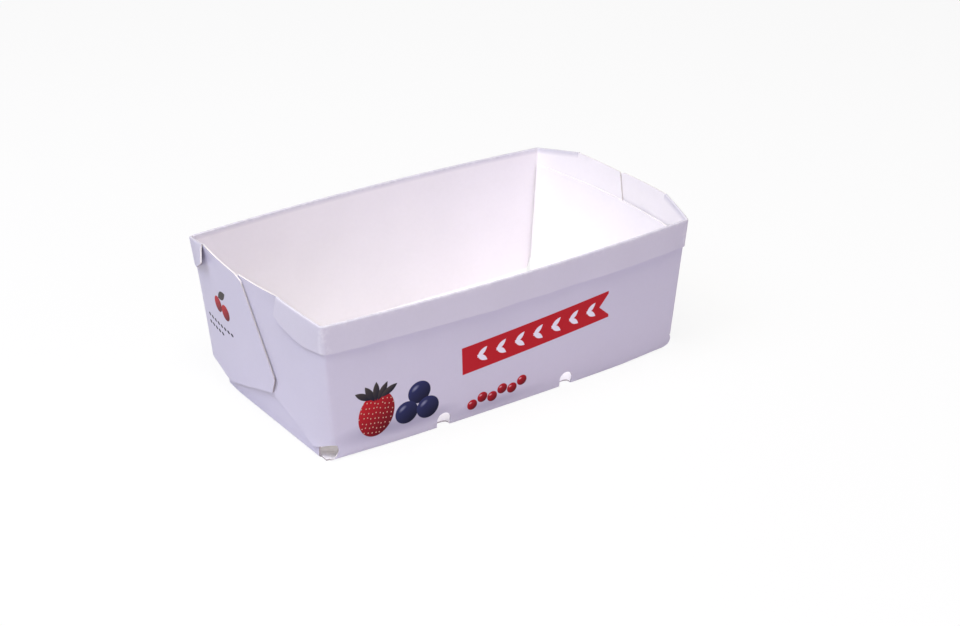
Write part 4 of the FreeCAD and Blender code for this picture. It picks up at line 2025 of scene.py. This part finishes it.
@dataclass(frozen=True)
class Studio:
    """Camera, lamps, table and backdrop.

    Attributes:
        focal: Focal length in millimetres.
        place: The camera's place in millimetres.
        pitch: How far it looks down, in degrees.
        yaw: How far it is turned about the upright, in degrees.
        sky: Strength of the even light from all round.
        sky_colour: Its colour.
        aim: Place that the lamps look at, in metres.
        table_reach: Half the table's side, in metres.
        table_colour: Colour of the table.
        table_glow: How much of the table shows as plain white.
        lamps: The lamps.
    """

    focal: float = 68.97
    place: Tuple[float, float, float] = (-402.4, -600.8, 370.3)
    pitch: float = 25.784
    yaw: float = -35.114
    sky: float = 0.02
    sky_colour: Colour = (0.9, 0.9, 1.0)
    aim: Tuple[float, float, float] = (0.0, 0.0, 0.03)
    table_reach: float = 6.0
    table_colour: Colour = (0.9, 0.88, 0.92)
    table_glow: float = 0.9
    lamps: Tuple[Lamp, ...] = (
        Lamp("overhead", (-0.25, -0.20, 1.10), 0.7, 10.76,
             (1.0, 0.983, 0.811)),
        Lamp("side", (-0.75, 0.05, 0.95), 0.6, 8.05, (0.761, 0.782, 1.0)),
        Lamp("front", (0.20, -1.20, 0.50), 0.8, 4.28, (0.82, 0.709, 1.0)))

    def camera(self) -> bpy.types.Object:
        """Set up the camera at the photograph's angle.

        Returns:
            The camera, which is the scene's.
        """
        data = bpy.data.cameras.new("camera")
        data.lens = self.focal
        data.sensor_width = 36.0
        data.clip_start = 0.01
        made = bpy.data.objects.new("camera", data)
        made.location = [v * MILLIMETRE for v in self.place]
        made.rotation_euler = (math.radians(90.0 - self.pitch), 0.0,
                               math.radians(self.yaw))
        bpy.context.scene.collection.objects.link(made)
        bpy.context.scene.camera = made
        return made

    def light(self, lamp: Lamp) -> bpy.types.Object:
        """Add a lamp that looks at the tray.

        Args:
            lamp: Its place, size, power and colour.

        Returns:
            The lamp's object.
        """
        data = bpy.data.lights.new(lamp.name, "AREA")
        data.size = lamp.size
        data.energy = lamp.power
        data.color = lamp.colour
        made = bpy.data.objects.new(lamp.name, data)
        made.location = lamp.place
        aim = np.array(self.aim) - np.array(lamp.place)
        aim = aim / np.linalg.norm(aim)
        made.rotation_euler = (math.acos(-aim[2]), 0.0,
                               math.atan2(aim[1], aim[0]) - math.pi / 2.0)
        bpy.context.scene.collection.objects.link(made)
        return made

    @staticmethod
    def _show(tree: Tree, lit: Socket, seen: Socket, share: float,
              result: Socket) -> None:
        """Show one shader to the camera and the other to the light.

        Args:
            tree: Tree that the nodes go into.
            lit: Shader that light meets.
            seen: Shader that the camera sees.
            share: How much of what the camera sees is the second one.
            result: Socket of the output.
        """
        blend = tree.node("MixShader")
        ray = tree.node("LightPath").outputs["Is Camera Ray"]
        tree.feed(blend.inputs[0], tree.math("MULTIPLY", ray, share))
        tree.feed(blend.inputs[1], lit)
        tree.feed(blend.inputs[2], seen)
        tree.feed(result, blend.outputs[0])

    def table(self) -> bpy.types.Object:
        """A pale table that shows white and keeps a soft shadow.

        Returns:
            The table.
        """
        mesh = bpy.data.meshes.new("table")
        far = self.table_reach
        mesh.from_pydata([(-far, -far, 0), (far, -far, 0), (far, far, 0),
                          (-far, far, 0)], [], [(0, 1, 2, 3)])
        made = bpy.data.objects.new("table", mesh)
        bpy.context.scene.collection.objects.link(made)
        material = bpy.data.materials.new("pale_table")
        material.use_nodes = True
        tree = Tree(material.node_tree)
        nodes = material.node_tree.nodes
        shader = nodes["Principled BSDF"]
        shader.inputs["Base Color"].default_value = (*self.table_colour, 1.0)
        shader.inputs["Roughness"].default_value = 0.9
        glow = tree.node("Emission")
        glow.inputs["Strength"].default_value = 1.0
        self._show(tree, shader.outputs[0], glow.outputs[0],
                   self.table_glow, nodes["Material Output"].inputs[0])
        mesh.materials.append(material)
        return made

    def world(self) -> None:
        """Even pale light from all round, white to the camera."""
        world = bpy.data.worlds.new("studio")
        bpy.context.scene.world = world
        world.use_nodes = True
        tree = Tree(world.node_tree)
        nodes = world.node_tree.nodes
        back = nodes["Background"]
        back.inputs["Color"].default_value = (*self.sky_colour, 1.0)
        back.inputs["Strength"].default_value = self.sky
        seen = tree.node("Background")
        seen.inputs["Strength"].default_value = 1.0
        self._show(tree, back.outputs[0], seen.outputs[0], 1.0,
                   nodes["World Output"].inputs[0])

    def build(self) -> None:
        """Set up everything round the tray."""
        bpy.context.scene.view_settings.view_transform = "Standard"
        self.camera()
        self.world()
        self.table()
        for lamp in self.lamps:
            self.light(lamp)


def main() -> None:
    """Build the studio and the tray, and report them."""
    logging.basicConfig(level=logging.INFO)
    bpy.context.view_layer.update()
    Studio().build()
    fruit = FruitPrint(TrayPlan()).group()
    lilac = (0.63, 0.605, 0.715)
    white = (0.92, 0.888, 0.93)
    coated = BoardFinish("coated_board", lilac, lilac, (0.70, 0.675, 0.77),
                         0.46, 0.02, 0.012, 0.012, 0.30, gloss=0.3)
    inside = BoardFinish("inside_board", white, (0.655, 0.63, 0.72),
                         (0.80, 0.78, 0.84), 0.82, 0.0, 0.015, 0.030, 0.30)
    # The cut edge's darker upright colour is painted shade on its sideways
    # faces.
    edge = BoardFinish("cut_edge", (0.84, 0.80, 0.81), (0.86, 0.83, 0.85),
                       (0.90, 0.88, 0.92), 0.85, 0.0, 0.05, 0.040, 0.0,
                       upright=(0.46, 0.41, 0.42))
    tray = FoldedTray().build([coated.material(fruit), inside.material(),
                               edge.material()])
    LOG.info("%s: %d faces", tray.name, len(tray.data.polygons))


if __name__ == "__main__":
    main()
